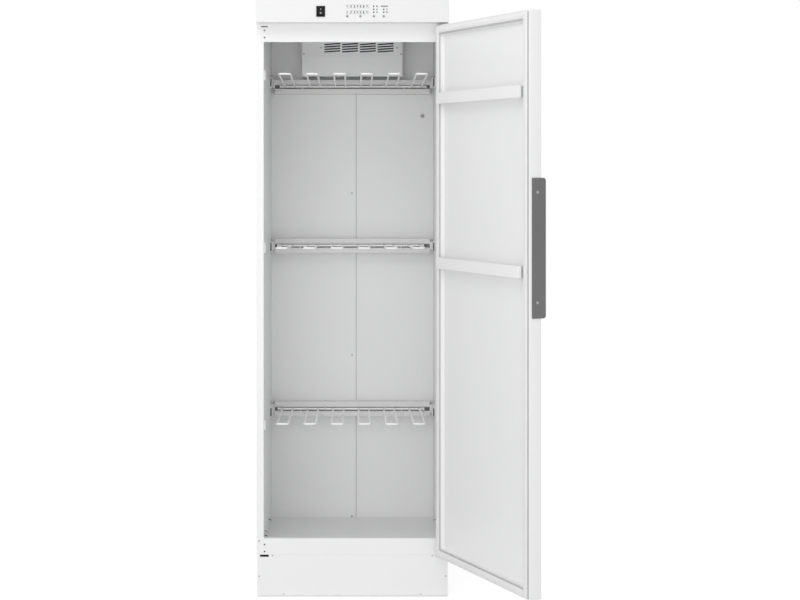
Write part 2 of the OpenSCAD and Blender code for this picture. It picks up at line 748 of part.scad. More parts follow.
module cable_gland() color(BLACK) difference() {
  union() {
    bar_y(gland_thread_r, gland_x, gland_z, y_back - 9, y_back + 1);
    bar_y(gland_thread_r + 4, gland_x, gland_z, y_back, y_back + 4, 6);
    bar_y(gland_thread_r + 2, gland_x, gland_z, y_back + 3, y_back + 14);
    bar_y(gland_thread_r + 4, gland_x, gland_z, y_back - sheet - 4, y_back - sheet, 6);
  }
  bar_y(gland_r, gland_x, gland_z, y_back - 10, y_back + 15);
}

// ---- Fascia and controls ----
fascia_y = y_front - fascia_d;
fascia_in = fascia_y + fascia_t;
fascia_z0 = cab_h - fascia_h;
switch_z = fascia_z0 + switch_rise;
switch_hole = [switch_x - 11, switch_z - 14, switch_x + 11, switch_z + 14];
bezel_t = 2.5;
rocker_hw = 8.2;
rocker_y = fascia_y + bezel_t;
recess_hw = rocker_hw + slip;
recess_hh = 12.7;
pivot_r = 1.5;
button_z = fascia_z0 + button_rise;
button_x = [-15.7, 24.6, 66.2, 96.3];
button_proud = 1.7;
window_x0 = -17.9;
window_z = [fascia_z0 + window_top, fascia_z0 + window_low];
lamp_places = [[65.6, 48.9], [65.6, 39.6], [65.6, 30.7], [96.3, 39.6], [96.3, 30.7]];
board_y = fascia_in + 6.7;
board_t = 1.6;
board_x0 = -28;
board_x1 = 116;
board_z0 = fascia_z0 + 11;
board_z1 = fascia_z0 + 60;
collar_gap = 0.3;
button_collar_t = 0.8;
tact_y = fascia_in + collar_gap + button_collar_t + button_stroke + 0.2;

module control_fascia() color(WHITE) difference() {
  union() {
    difference() {
      block([-half_w, fascia_y, fascia_z0], [half_w, y_front, cab_h]);
      block([-half_w + fascia_t, fascia_in, fascia_z0 + fascia_t],
        [half_w - fascia_t, y_front + 1, cab_h - fascia_t]);
    }
    frame_xz([-half_w + EPS, fascia_z0 + EPS, half_w - EPS, cab_h - EPS],
      grown([-half_w, fascia_z0, half_w, cab_h], -12), y_front - fascia_t, y_front);
  }
  block([switch_hole[0], fascia_y - 1, switch_hole[1]],
    [switch_hole[2], fascia_in + 1, switch_hole[3]]);
  for (x = button_x) bar_y(button_r + 0.08, x, button_z, fascia_y - 1, fascia_in + 1);
  for (z = window_z) block([window_x0, fascia_y - 1, z - window_h / 2],
    [window_x0 + window_w, fascia_in + 1, z + window_h / 2]);
  for (p = lamp_places) bar_y(lamp_r + fit, p[0], fascia_z0 + p[1], fascia_y - 1, fascia_in + 1);
}

module control_board() color([0.1, 0.35, 0.2]) {
  block([board_x0, board_y, board_z0], [board_x1, board_y + board_t, board_z1]);
  for (x = [board_x0 + 4, board_x1 - 4], z = [board_z0 + 4, board_z1 - 4])
    bar_y(2.5, x, z, fascia_in, board_y + EPS, 24);
  for (x = button_x) block([x - 3, tact_y, button_z - 3], [x + 3, board_y + EPS, button_z + 3]);
}

module indicator_windows() color(LINER) for (z = window_z)
  block([window_x0, fascia_y - 0.2, z - window_h / 2],
    [window_x0 + window_w, fascia_in, z + window_h / 2]);

module indicator_lamps() color([0.75, 0.78, 0.75]) for (p = lamp_places)
  bar_y(lamp_r, p[0], fascia_z0 + p[1], fascia_y - 0.5, board_y);

module push_button(i) color([0.62, 0.64, 0.66]) {
  y0 = fascia_in + collar_gap;
  bar_y(button_r, button_x[i], button_z, fascia_y - button_proud, y0 + EPS);
  bar_y(button_r + 1, button_x[i], button_z, y0, y0 + button_collar_t);
}

module program_button() push_button(0);
module time_button() push_button(1);
module heat_button() push_button(2);
module start_button() push_button(3);

module switch_housing() color(BLACK) difference() {
  union() {
    block([switch_x - switch_w / 2, fascia_y - bezel_t, switch_z - switch_h / 2],
      [switch_x + switch_w / 2, fascia_y, switch_z + switch_h / 2]);
    block([switch_hole[0] + 0.1, fascia_y - EPS, switch_hole[1] + 0.1],
      [switch_hole[2] - 0.1, fascia_y + 27, switch_hole[3] - 0.1]);
    for (x = [-6, 0, 6]) block([switch_x + x - 0.4, fascia_y + 26, switch_z - 3],
      [switch_x + x + 0.4, fascia_y + 33, switch_z + 3]);
  }
  block([switch_x - recess_hw, fascia_y - bezel_t - 1, switch_z - recess_hh],
    [switch_x + recess_hw, rocker_y + 10, switch_z + recess_hh]);
  bar_x(pivot_r + fit, rocker_y, switch_z, switch_x - 10.4, switch_x + 10.4);
}

// The rocker's side view: y to the inside of the switch, z up, from its pivot
rocker_outline = [[-6.9, 11.5], [-5.5, 0], [-6.9, -11.5], [2, -9.5], [3.5, 0], [2, 9.5]];

module power_rocker() color(BLACK) translate([switch_x, rocker_y, switch_z])
  rotate([-rocker_tilt, 0, 0]) {
    rotate([90, 0, 90]) linear_extrude(2 * rocker_hw, center = true) polygon(rocker_outline);
    bar_x(pivot_r, 0, 0, -10, 10);
  }

// ---- Rack rails and racks ----
rail_y = y_rear - rail_d;
rail_x = open_x - rail_end_gap;
lip_h = (rail_h - rail_slot) / 2;
rod_gap = 4.2;
rod_y = rail_y - rod_gap;
rod_rise = 1;
lug_t = 3;
lug_r = 7;
arms = 6;
arm_pitch = 2 * (rail_x - arm_edge) / (arms - 1);
lug_out = rail_x - lug_edge;
lug_x = [-lug_out, -arm_pitch, arm_pitch, lug_out];
rod_x = lug_out + 8;
rack_x = [2.6, -6, -4.6];
bow_r = 8;
stop_l = 13;
arm_slope = [-arm_rise, middle_arm_sag - arm_rise, -arm_rise];
stop_t = 3;

module rack_rail(i) color(WHITE) difference() {
  z0 = rail_z[i] - rail_h / 2;
  z1 = rail_z[i] + rail_h / 2;
  union() {
    difference() {
      block([-rail_x, rail_y, z0], [rail_x, y_rear, z1]);
      block([-rail_x - 1, rail_y + rail_t, z0 + rail_t], [rail_x + 1, y_rear - rail_t, z1 - rail_t]);
      block([-rail_x - 1, rail_y - 1, z0 + lip_h], [rail_x + 1, rail_y + rail_t + 1, z1 - lip_h]);
    }
    for (x = lug_x) translate([rack_x[i] + x - lug_t / 2, 0, rail_z[i]]) {
      block([0, rod_y, rod_rise - 5], [lug_t, y_rear - EPS, rod_rise + 4]);
      bar_x(lug_r, rod_y, rod_rise, 0, lug_t, 48);
    }
  }
  bar_x(rod_r + fit, rod_y, rail_z[i] + rod_rise, -rail_x, rail_x);
}

module upper_rack_rail() rack_rail(0);
module middle_rack_rail() rack_rail(1);
module lower_rack_rail() rack_rail(2);

// One arm: a wire from the rod to the front, across the bow and back
module rack_arm() {
  y1 = -arm_l + bow_r;
  for (s = [0, 1]) mirror([s, 0, 0]) {
    bar_y(wire_r, arm_w / 2, 0, y1, 0, 24);
    translate([arm_w / 2 - bow_r, y1, 0]) rotate([0, 0, -90]) rotate_extrude(angle = 90)
      translate([bow_r, 0]) circle(r = wire_r, $fn = 24);
  }
  bar_x(wire_r, -arm_l, 0, -arm_w / 2 + bow_r, arm_w / 2 - bow_r, 24);
}

module hanging_rack(i) color(WHITE)
  translate([rack_x[i], rod_y, rail_z[i] + rod_rise]) {
    bar_x(rod_r, 0, 0, -rod_x, rod_x);
    for (x = [-rod_x, rod_x - 3]) bar_x(rod_r + 2, 0, 0, x, x + 3);
    for (k = [0 : arms - 1]) translate([(k - (arms - 1) / 2) * arm_pitch, 0, 0])
      rotate([arm_slope[i], 0, 0]) rack_arm();
    for (x = [-2, 2]) block([x * arm_pitch - stop_t / 2, -rod_r, -stop_l],
      [x * arm_pitch + stop_t / 2, rod_gap - slip, 0]);
  }

module upper_hanging_rack() hanging_rack(0);
module middle_hanging_rack() hanging_rack(1);
module lower_hanging_rack() hanging_rack(2);

bracket_t = 1.5;
bracket_y0 = y_rear - bracket_l;
bracket_y1 = y_rear - 1;

// A channel along the side wall, open to the front, with a shoe that takes the rail's end
module rail_end_brackets() color(WHITE) for (i = [0 : 2], s = [0, 1]) mirror([s, 0, 0])
  difference() {
    z0 = bracket_z[i] - bracket_h / 2;
    z1 = bracket_z[i] + bracket_h / 2;
    union() {
      block([open_x - bracket_out, bracket_y0, z0], [open_x, bracket_y1, z1]);
      block([rail_x, rail_y + 4, rail_z[i] - rail_h / 2],
        [rail_x + bracket_t, bracket_y1, rail_z[i] + rail_h / 2]);
      block([rail_x, rail_y + 4, z0], [open_x - bracket_t, rail_y + 4 + bracket_t, z1]);
      block([rail_x, rail_y + 4, z0], [open_x - bracket_t, bracket_y1, z0 + bracket_t]);
    }
    block([open_x - bracket_out + bracket_t, bracket_y0 - 1, z0 + bracket_t],
      [open_x - bracket_t, y_rear, z1 - bracket_t]);
    for (d = [-bracket_screw_z, bracket_screw_z]) {
      bar_x(1.6 + screw_fit, bracket_screw_y, bracket_z[i] + d, open_x - bracket_t - 1, open_x + 1, 24);
      bar_x(3.4, bracket_screw_y, bracket_z[i] + d, rail_x - 1, open_x - bracket_t - 1, 24);
    }
  }

module bracket_screws() color(STEEL)
  for (z = bracket_z, s = [0, 1], d = [-bracket_screw_z, bracket_screw_z]) mirror([s, 0, 0]) {
    x = open_x - bracket_t;
    bar_x(3, bracket_screw_y, z + d, x - 1.5, x, 24);
    bar_x(1.6, bracket_screw_y, z + d, x, open_x + sheet, 24);
  }

// ---- Hinges ----
foot_y = y_front + frame_t;
tongue_r = pin_r + 4;
pin_l = 16;
bush_r = pin_r + 3;
bush_l = 24;
bush_lip = 1.7;

// The hinge tongue, seen from above
module tongue(z) {
  translate([0, 0, z]) linear_extrude(hinge_t) union() {
    polygon([[up_slot[0] + 0.4, foot_y + hinge_t], [up_slot[2] - 0.4, foot_y + hinge_t],
      [up_slot[2] - 0.4, y_front - 2], [pin_x + tongue_r, pin_y + 14], [pin_x + tongue_r, pin_y],
      [pin_x - tongue_r, pin_y], [up_slot[0] + 0.4, pin_y + 14]]);
    translate([pin_x, pin_y]) circle(r = tongue_r, $fn = 48);
  }
}

// The hinge foot behind the front frame, with its screw holes
module hinge_foot(z0, z1, screws) {
  difference() {
    block([hinge_x0, foot_y, z0], [hinge_x1, foot_y + hinge_t, z1]);
    for (z = screws) bar_y(hinge_shank_r + screw_fit, hinge_screw_x, z, foot_y - 1, foot_y + hinge_t + 1);
  }
}

module upper_hinge_plate() color(STEEL) {
  tongue(tongue_z_up);
  hinge_foot(tongue_z_up - 45, tongue_z_up + hinge_t, up_screw_z);
  translate([pin_x, pin_y, tongue_z_up - pin_l]) cylinder(r = pin_r, h = pin_l + EPS);
}

module lower_hinge_plate() color(STEEL) {
  tongue(tongue_z_low);
  hinge_foot(tongue_z_low, tongue_z_low + 47, low_screw_z);
  translate([pin_x, pin_y, tongue_z_low + hinge_t - EPS]) cylinder(r = pin_r, h = pin_l + EPS);
}

module hinge_screws() color(STEEL) for (z = concat(up_screw_z, low_screw_z)) {
  bar_y(hinge_screw_r, hinge_screw_x, z, y_front, foot_y);
  bar_y(hinge_shank_r, hinge_screw_x, z, foot_y - EPS, foot_y + hinge_t + 3, 24);
}

// ---- Door, drawn closed and then swung open ----
door_rect = [-half_w, door_z0, half_w, door_z1];
pan_rect = grown(door_rect, -rim_w);
pan_flange = 10;

module swung() {
  translate([pin_x, pin_y, 0]) rotate([0, 0, door_angle]) translate([-pin_x, -pin_y, 0]) children();
}

module door_block(rect, y0, y1) {
  block([rect[0], y0, rect[1]], [rect[2], y1, rect[3]]);
}

module door_outer_panel() color(WHITE) swung() difference() {
  door_block(door_rect, door_front, door_back);
  door_block(grown(door_rect, -sheet), door_front + sheet, door_back - sheet);
  door_block(pan_rect, door_back - sheet - 1, door_back + 1);
  for (z = [door_z0 - 1, door_z1 - sheet - 1])
    translate([pin_x, pin_y, z]) cylinder(r = bush_r, h = sheet + 2);
  for (z = handle_screw_z) bar_x(1.6 + screw_fit, handle_screw_y, z, -half_w - 1, -half_w + sheet + 1, 24);
}

module door_inner_panel() color(WHITE) swung() {
  door_block(pan_rect, pan_y - sheet, pan_y);
  difference() {
    door_block(pan_rect, pan_y - sheet, door_back);
    door_block(grown(pan_rect, -sheet), pan_y - sheet - 1, door_back + 1);
  }
  difference() {
    door_block(grown(pan_rect, pan_flange), door_back - 2 * sheet, door_back - sheet);
    door_block(grown(pan_rect, -EPS), door_back - 3 * sheet, door_back);
  }
}

module door_insulation() color(FOAM) swung()
  door_block(grown(pan_rect, -2), door_front + sheet, pan_y - sheet);

// The seal rises in three steps. Its crown lies inward of the hinge pins, so that it clears
// the front frame as the door swings.
module door_seal() color(RUBBER) swung() {
  outer = grown(door_rect, -seal_inset);
  crown = pin_inset - 2 - seal_inset;
  for (step = [[0, 0.6], [3, 0.8], [crown, 1]])
    frame_xz(grown(outer, -step[0]), grown(outer, step[0] - seal_w), door_back,
      door_back + seal_h * step[1]);
}

// Rails on the inside of the door
strip_t = 2;
rail_return = 11;
strip_y = pan_y + door_rail_out;
spacer_y1 = strip_y - rail_return;
spacer_w = 18;

door_rail_x = pan_rect[2] - door_rail_gap;
door_rail_z = [door_z1 - door_rail_drop, door_z0 + door_rail_rise];

module door_rail(z) color(WHITE) swung() {
  x = door_rail_x;
  h = door_rail_h / 2;
  block([-x, strip_y - strip_t, z - h], [x, strip_y, z + h]);
  block_pair([x - strip_t, spacer_y1, z - h], [x, strip_y, z + h]);
  block_pair([x - spacer_w, spacer_y1, z - h], [x, spacer_y1 + strip_t, z + h]);
}

module door_rail_upper() door_rail(door_rail_z[0]);
module door_rail_lower() door_rail(door_rail_z[1]);

module door_rail_spacers() color(DARK) swung() for (z = door_rail_z)
  block_pair([door_rail_x - spacer_w + 1, pan_y, z - door_rail_h / 2 + 2],
    [door_rail_x - 1, spacer_y1, z + door_rail_h / 2 - 2]);

// Handle plate on the door's free edge
handle_y1 = door_back - 8;
handle_y0 = handle_y1 - handle_w;
handle_screw_y = handle_y1 - 16.6;
handle_screw_z = [handle_z + 44, handle_z + handle_l - 40];
handle_outer_r = 8;
handle_inner_r = 2;

module door_handle() color(DARK) swung() difference() {
  translate([-half_w - handle_t, 0, 0]) rotate([90, 0, 90]) linear_extrude(handle_t) union() {
    translate([handle_y0 + handle_outer_r, handle_z])
      square([handle_w - handle_outer_r - handle_inner_r, handle_l]);
    translate([handle_y0, handle_z + handle_outer_r])
      square([handle_outer_r + EPS, handle_l - 2 * handle_outer_r]);
    translate([handle_y1 - handle_inner_r - EPS, handle_z + handle_inner_r])
      square([handle_inner_r + EPS, handle_l - 2 * handle_inner_r]);
    for (z = [handle_z + handle_outer_r, handle_z + handle_l - handle_outer_r])
      translate([handle_y0 + handle_outer_r, z]) circle(r = handle_outer_r, $fn = 48);
    for (z = [handle_z + handle_inner_r, handle_z + handle_l - handle_inner_r])
      translate([handle_y1 - handle_inner_r, z]) circle(r = handle_inner_r, $fn = 24);
  }
  for (z = handle_screw_z)
    bar_x(1.6 + screw_fit, handle_screw_y, z, -half_w - handle_t - 1, -half_w + 1, 24);
}

module handle_screws() color(STEEL) swung() for (z = handle_screw_z) {
  x = -half_w - handle_t;
  bar_x(4, handle_screw_y, z, x - 1.2, x);
  bar_x(1.6, handle_screw_y, z, x - EPS, -half_w + sheet + 6, 24);
}

// Bushes that take the hinge pins
module hinge_bushes() color(BLACK) swung() translate([pin_x, pin_y, 0]) {
  difference() {
    union() {
      translate([0, 0, door_z0]) cylinder(r = bush_r, h = bush_l);
      translate([0, 0, door_z0 - bush_lip]) cylinder(r = bush_r + 2, h = bush_lip);
    }
    translate([0, 0, door_z0 - bush_lip - 1]) cylinder(r = pin_r + fit, h = bush_l);
  }
  difference() {
    translate([0, 0, door_z1 - bush_l]) cylinder(r = bush_r, h = bush_l);
    translate([0, 0, door_z1 - bush_l + 2]) cylinder(r = pin_r + fit, h = bush_l);
  }
}

base_frame();
levelling_feet();
kick_plate();
kick_plate_screws();
front_frame();
left_side_panel();
right_side_panel();
top_panel();
rear_panel();
left_inner_wall();
right_inner_wall();
rear_inner_wall_left();
rear_inner_wall_right();
seam_screws();
floor_pan();
inner_ceiling();
side_insulation();
rear_insulation();
duct_cover();
intake_grille();
cover_screws();
heating_element();
fan_housing();
fan_motor();
fan_wheel();
exhaust_collar();
control_fascia();
control_board();
switch_housing();
power_rocker();
indicator_windows();
indicator_lamps();
program_button();
time_button();
heat_button();
start_button();
cable_gland();
upper_rack_rail();
middle_rack_rail();
lower_rack_rail();
rail_end_brackets();
bracket_screws();
upper_hanging_rack();
middle_hanging_rack();
lower_hanging_rack();
wall_buffers();
humidity_sensor();
upper_hinge_plate();
lower_hinge_plate();
hinge_screws();
door_outer_panel();
door_inner_panel();
door_insulation();
door_seal();
door_rail_upper();
door_rail_lower();
door_rail_spacers();
door_handle();
handle_screws();
hinge_bushes();
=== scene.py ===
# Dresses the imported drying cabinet: a tall white steel cabinet with its door open, seen from
# the front. Metres, +Z up, the cabinet's front faces -Y.
import json
import math

import bmesh
import bpy
from mathutils import Matrix, Vector


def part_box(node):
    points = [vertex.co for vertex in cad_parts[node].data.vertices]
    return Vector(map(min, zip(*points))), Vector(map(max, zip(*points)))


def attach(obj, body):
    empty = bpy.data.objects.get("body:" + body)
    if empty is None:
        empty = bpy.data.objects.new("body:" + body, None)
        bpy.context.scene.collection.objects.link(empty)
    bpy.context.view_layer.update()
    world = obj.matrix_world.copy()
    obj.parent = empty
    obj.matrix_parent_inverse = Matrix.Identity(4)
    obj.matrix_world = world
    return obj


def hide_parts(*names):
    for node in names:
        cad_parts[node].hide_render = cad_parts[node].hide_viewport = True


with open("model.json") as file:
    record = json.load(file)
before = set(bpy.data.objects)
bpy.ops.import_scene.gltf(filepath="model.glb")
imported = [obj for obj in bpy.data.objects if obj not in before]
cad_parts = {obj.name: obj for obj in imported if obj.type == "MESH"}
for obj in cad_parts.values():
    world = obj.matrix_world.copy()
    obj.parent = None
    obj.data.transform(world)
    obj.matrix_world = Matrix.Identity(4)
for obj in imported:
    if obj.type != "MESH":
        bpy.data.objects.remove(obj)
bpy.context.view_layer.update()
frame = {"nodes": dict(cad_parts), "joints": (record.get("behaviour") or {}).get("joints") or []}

MM = 0.001

# ---- Camera, light and floor ----
# The camera stands 5.4 m in front of the cabinet at chest height and looks level at it.
# The frame is 800 x 600, and the eye's axis crosses it at EYE_X, EYE_Y. The studio is white.
FRAME_W, FRAME_H = 800, 600
EYE_X, EYE_Y = 352.4, 170.0
FOCAL_PX = 1729.0
EYE_HEIGHT = 1.3236
EYE_DISTANCE = 5.6505
SENSOR = 36.0

eye = bpy.data.cameras.new("photo_camera")
eye.sensor_width = SENSOR
eye.lens = FOCAL_PX / FRAME_W * SENSOR
eye.shift_x = (FRAME_W / 2 - EYE_X) / FRAME_W
eye.shift_y = (EYE_Y - FRAME_H / 2) / FRAME_W
eye_stand = bpy.data.objects.new("photo_camera", eye)
eye_stand.location = (0, -EYE_DISTANCE, EYE_HEIGHT)
eye_stand.rotation_euler = (math.radians(90), 0, 0)
bpy.context.scene.collection.objects.link(eye_stand)
bpy.context.scene.camera = eye_stand
bpy.context.scene.view_settings.view_transform = "Standard"


def softbox(name, place, aim, size, watts):
    """A soft lamp at place that shines towards aim. Its size is its width and height."""
    lamp = bpy.data.lights.new(name, "AREA")
    lamp.shape = "RECTANGLE"
    lamp.size, lamp.size_y = size
    lamp.energy = watts
    stand = bpy.data.objects.new(name, lamp)
    stand.location = place
    stand.rotation_euler = (Vector(aim) - Vector(place)).to_track_quat("-Z", "Y").to_euler()
    bpy.context.scene.collection.objects.link(stand)


ON_CABINET = (0, 0, 1.0)
softbox("front_softbox", (-1.3, -5.2, 1.5), ON_CABINET, (2.8, 2.4), 39)
softbox("low_softbox", (0.3, -5.0, 0.5), ON_CABINET, (2.4, 0.8), 14)
softbox("ceiling_softbox", (-0.6, -1.6, 3.2), (0, -0.3, 1.0), (2.4, 1.2), 15.5)

# What the camera, polished metal and clear plastic see of the studio is pure white. The light
# that the object gets from it is a little weaker.
FILL, FILL_TINT = 0.72, (0.99, 0.995, 1.0, 1)
studio = bpy.data.worlds.new("white_studio")
studio.use_nodes = True
bpy.context.scene.world = studio
wn, wl = studio.node_tree.nodes, studio.node_tree.links
wn.clear()


def seen_directly(nodes, links):
    """1 for the rays of the camera, of a gloss and through clear plastic, otherwise 0."""
    rays = nodes.new("ShaderNodeLightPath")
    seen = rays.outputs["Is Camera Ray"]
    for ray in ("Is Glossy Ray", "Is Transmission Ray"):
        either = nodes.new("ShaderNodeMath")
        either.operation = "MAXIMUM"
        links.new(seen, either.inputs[0])
        links.new(rays.outputs[ray], either.inputs[1])
        seen = either.outputs[0]
    return seen


white, fill = wn.new("ShaderNodeBackground"), wn.new("ShaderNodeBackground")
white.inputs["Color"].default_value = (1, 1, 1, 1)
fill.inputs["Color"].default_value = FILL_TINT
fill.inputs["Strength"].default_value = FILL
sky = wn.new("ShaderNodeMixShader")
wl.new(seen_directly(wn, wl), sky.inputs[0])
wl.new(fill.outputs[0], sky.inputs[1])
wl.new(white.outputs[0], sky.inputs[2])
wl.new(sky.outputs[0], wn.new("ShaderNodeOutputWorld").inputs[0])

# The floor is white paper that keeps a faint shadow of the cabinet.
REACH = 9.0
PAPER, PAPER_GLOW, PAPER_SHADE = 0.85, 0.6, 0.6
floor_mesh = bpy.data.meshes.new("studio_floor")
floor_corners = [(-REACH, -REACH, 0), (REACH, -REACH, 0), (REACH, REACH, 0), (-REACH, REACH, 0)]
floor_mesh.from_pydata(floor_corners, [], [(0, 1, 2, 3)])
floor = bpy.data.objects.new("studio_floor", floor_mesh)
bpy.context.scene.collection.objects.link(floor)
paper = bpy.data.materials.new("floor_paper")
paper.use_nodes = True
pn, pl = paper.node_tree.nodes, paper.node_tree.links
pn.clear()
plain, shade = pn.new("ShaderNodeBsdfDiffuse"), pn.new("ShaderNodeBsdfDiffuse")
glow = pn.new("ShaderNodeEmission")
plain.inputs["Color"].default_value = (PAPER, PAPER, PAPER, 1)
shade.inputs["Color"].default_value = (PAPER_SHADE, PAPER_SHADE, PAPER_SHADE, 1)
glow.inputs["Strength"].default_value = PAPER_GLOW
lit, sheet_white = pn.new("ShaderNodeAddShader"), pn.new("ShaderNodeMixShader")
pl.new(shade.outputs[0], lit.inputs[0])
pl.new(glow.outputs[0], lit.inputs[1])
pl.new(seen_directly(pn, pl), sheet_white.inputs[0])
pl.new(plain.outputs[0], sheet_white.inputs[1])
pl.new(lit.outputs[0], sheet_white.inputs[2])
pl.new(sheet_white.outputs[0], pn.new("ShaderNodeOutputMaterial").inputs[0])
floor_mesh.materials.append(paper)


# ---- Plinth: base frame, levelling feet and kick plate ----
# A welded ring of white powder-coated angle carries the cabinet on four levelling feet. The
# kick plate is screwed on in front and has a hem folded along its lower edge.
def noise(nodes, links, where, scale, detail=2.0, rough=0.5, stretch=None):
    """Grain with about scale spots a metre, drawn in the piece's own space."""
    grain = nodes.new("ShaderNodeTexNoise")
    grain.inputs["Scale"].default_value = scale
    grain.inputs["Detail"].default_value = detail
    grain.inputs["Roughness"].default_value = rough
    if stretch:
        squeeze = nodes.new("ShaderNodeMapping")
        squeeze.inputs["Scale"].default_value = stretch
        links.new(where.outputs["Object"], squeeze.inputs["Vector"])
        links.new(squeeze.outputs["Vector"], grain.inputs["Vector"])
    else:
        links.new(where.outputs["Object"], grain.inputs["Vector"])
    return grain


# Gloss drifts in finer patches than the colour, and a sheet sways a few times a metre.
GLOSS_FINER, SWAYS = 7, 7.0
TINT_FROM, TINT_TO = 0.3, 0.7


def finish_of(name, light, dark, rough, spread, grain_size, depth, patch=2.5, metal=0.0,
              coat=0.0, stretch=None, sway=0.0, spangle=0.0, shine=0.5):
    """A surface whose colour drifts from dark to light in patches, whose gloss drifts by spread,
    and whose skin has grains of grain_size metres that stand depth metres high. Thin sheet also
    sways by sway metres over a hand's width, and zinc has crystals of spangle metres."""
    made = bpy.data.materials.new(name)
    made.use_nodes = True
    nodes, links = made.node_tree.nodes, made.node_tree.links
    skin = nodes["Principled BSDF"]
    skin.inputs["Metallic"].default_value = metal
    skin.inputs["Specular IOR Level"].default_value = shine
    skin.inputs["Coat Weight"].default_value = coat
    skin.inputs["Coat Roughness"].default_value = 0.25
    where = nodes.new("ShaderNodeTexCoord")
    if spangle:
        drift = nodes.new("ShaderNodeTexVoronoi")
        drift.inputs["Scale"].default_value = 1 / spangle
        links.new(where.outputs["Object"], drift.inputs["Vector"])
        shade_by = drift.outputs["Color"]
    else:
        shade_by = noise(nodes, links, where, patch, 3.0, 0.6).outputs["Fac"]
    tint = nodes.new("ShaderNodeValToRGB")
    tint.color_ramp.elements[0].position = TINT_FROM
    tint.color_ramp.elements[1].position = TINT_TO
    tint.color_ramp.elements[0].color = (*dark, 1)
    tint.color_ramp.elements[1].color = (*light, 1)
    links.new(shade_by, tint.inputs["Fac"])
    links.new(tint.outputs["Color"], skin.inputs["Base Color"])
    gloss = nodes.new("ShaderNodeMapRange")
    gloss.inputs["To Min"].default_value = rough - spread
    gloss.inputs["To Max"].default_value = rough + spread
    streaks = noise(nodes, links, where, patch * GLOSS_FINER, 4.0)
    links.new(streaks.outputs["Fac"], gloss.inputs["Value"])
    links.new(gloss.outputs["Result"], skin.inputs["Roughness"])
    peel = nodes.new("ShaderNodeBump")
    peel.inputs["Strength"].default_value = 0.6
    peel.inputs["Distance"].default_value = depth
    grains = noise(nodes, links, where, 1 / grain_size, 2.0, 0.5, stretch)
    links.new(grains.outputs["Fac"], peel.inputs["Height"])
    if sway:
        swell = nodes.new("ShaderNodeBump")
        swell.inputs["Strength"].default_value = 0.5
        swell.inputs["Distance"].default_value = sway
        waves = noise(nodes, links, where, SWAYS, 1.0)
        links.new(waves.outputs["Fac"], swell.inputs["Height"])
        links.new(swell.outputs["Normal"], peel.inputs["Normal"])
    links.new(peel.outputs["Normal"], skin.inputs["Normal"])
    return made


def dress(node, made, edge=0.4 * MM, rounds=2):
    """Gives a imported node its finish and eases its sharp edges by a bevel."""
    solid = frame["nodes"][node]
    solid.data.materials.clear()
    solid.data.materials.append(made)
    for face in solid.data.polygons:
        face.material_index = 0
        face.use_smooth = True
    if "custom_normal" in solid.data.attributes:
        solid.data.attributes.remove(solid.data.attributes["custom_normal"])
    weld = solid.modifiers.new("joined_corners", "WELD")
    weld.merge_threshold = 0.01 * MM
    flat = solid.modifiers.new("whole_faces", "DECIMATE")
    flat.decimate_type = "DISSOLVE"
    flat.angle_limit = math.radians(0.5)
    ease = solid.modifiers.new("eased_edges", "BEVEL")
    ease.width = edge
    ease.segments = rounds
    ease.limit_method = "ANGLE"
    ease.angle_limit = math.radians(35)
    ease.harden_normals = True
    ease.use_clamp_overlap = True


def piece_of(name, shape, made, body, nodes=(), sharp=35):
    """Turns a bmesh into a piece of the cabinet that rides on a body."""
    bmesh.ops.remove_doubles(shape, verts=shape.verts, dist=0.002 * MM)
    bmesh.ops.recalc_face_normals(shape, faces=shape.faces)
    mesh = bpy.data.meshes.new(name)
    shape.to_mesh(mesh)
    shape.free()
    mesh.polygons.foreach_set("use_smooth", [True] * len(mesh.polygons))
    mesh.set_sharp_from_angle(angle=math.radians(sharp))
    mesh.materials.append(made)
    piece = bpy.data.objects.new(name, mesh)
    bpy.context.scene.collection.objects.link(piece)
    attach(piece, body)
    if nodes:
        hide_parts(*nodes)
    return piece


def turned(shape, place, axis, rings, sides=32, capped=True, across=None):
    """Turns rings of (radius, height) about axis at place. A radius may be a function of the
    angle, which is measured from the direction across."""
    along = Vector(axis).normalized()
    side = Vector(across) if across else along.orthogonal().normalized()
    other = along.cross(side)
    hoops = []
    for radius, height in rings:
        hoop = []
        for k in range(sides):
            angle = 2 * math.pi * k / sides
            r = radius(angle) if callable(radius) else radius
            hoop.append(shape.verts.new(Vector(place) + along * height
                                        + side * (r * math.cos(angle)) + other * (r * math.sin(angle))))
        hoops.append(hoop)
    for low, high in zip(hoops, hoops[1:]):
        for k in range(sides):
            shape.faces.new((low[k], low[(k + 1) % sides], high[(k + 1) % sides], high[k]))
    if capped:
        shape.faces.new(hoops[-1])


def cross_head(shape, place, facing, radius, height, across=None):
    """A pan-head screw with a cross recess, on the surface at place."""
    arm, reach = 0.13 * radius, 0.52 * radius

    def cross(scale):
        def edge(angle):
            c, s = max(abs(math.cos(angle)), 1e-6), max(abs(math.sin(angle)), 1e-6)
            return scale * max(min(reach / c, arm / s), min(reach / s, arm / c))
        return edge

    head = [(radius, -0.1 * height), (radius, 0.35 * height), (0.93 * radius, 0.72 * height),
            (0.66 * radius, height), (cross(1.0), height), (cross(0.75), 0.3 * height)]
    turned(shape, place, facing, head, across=across)


def islands(node):
    """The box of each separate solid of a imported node, as pairs of corners."""
    copy = bmesh.new()
    copy.from_mesh(frame["nodes"][node].data)
    bmesh.ops.remove_doubles(copy, verts=copy.verts, dist=0.005 * MM)
    left, boxes = set(copy.verts), []
    while left:
        reach, found = [left.pop()], []
        while reach:
            vert = reach.pop()
            found.append(vert.co.copy())
            for joined in vert.link_edges:
                near = joined.other_vert(vert)
                if near in left:
                    left.remove(near)
                    reach.append(near)
        boxes.append([Vector([pick(p[i] for p in found) for i in range(3)]) for pick in (min, max)])
    copy.free()
    return sorted(boxes, key=lambda b: (round(b[0].z, 4), round(b[0].x, 4)))


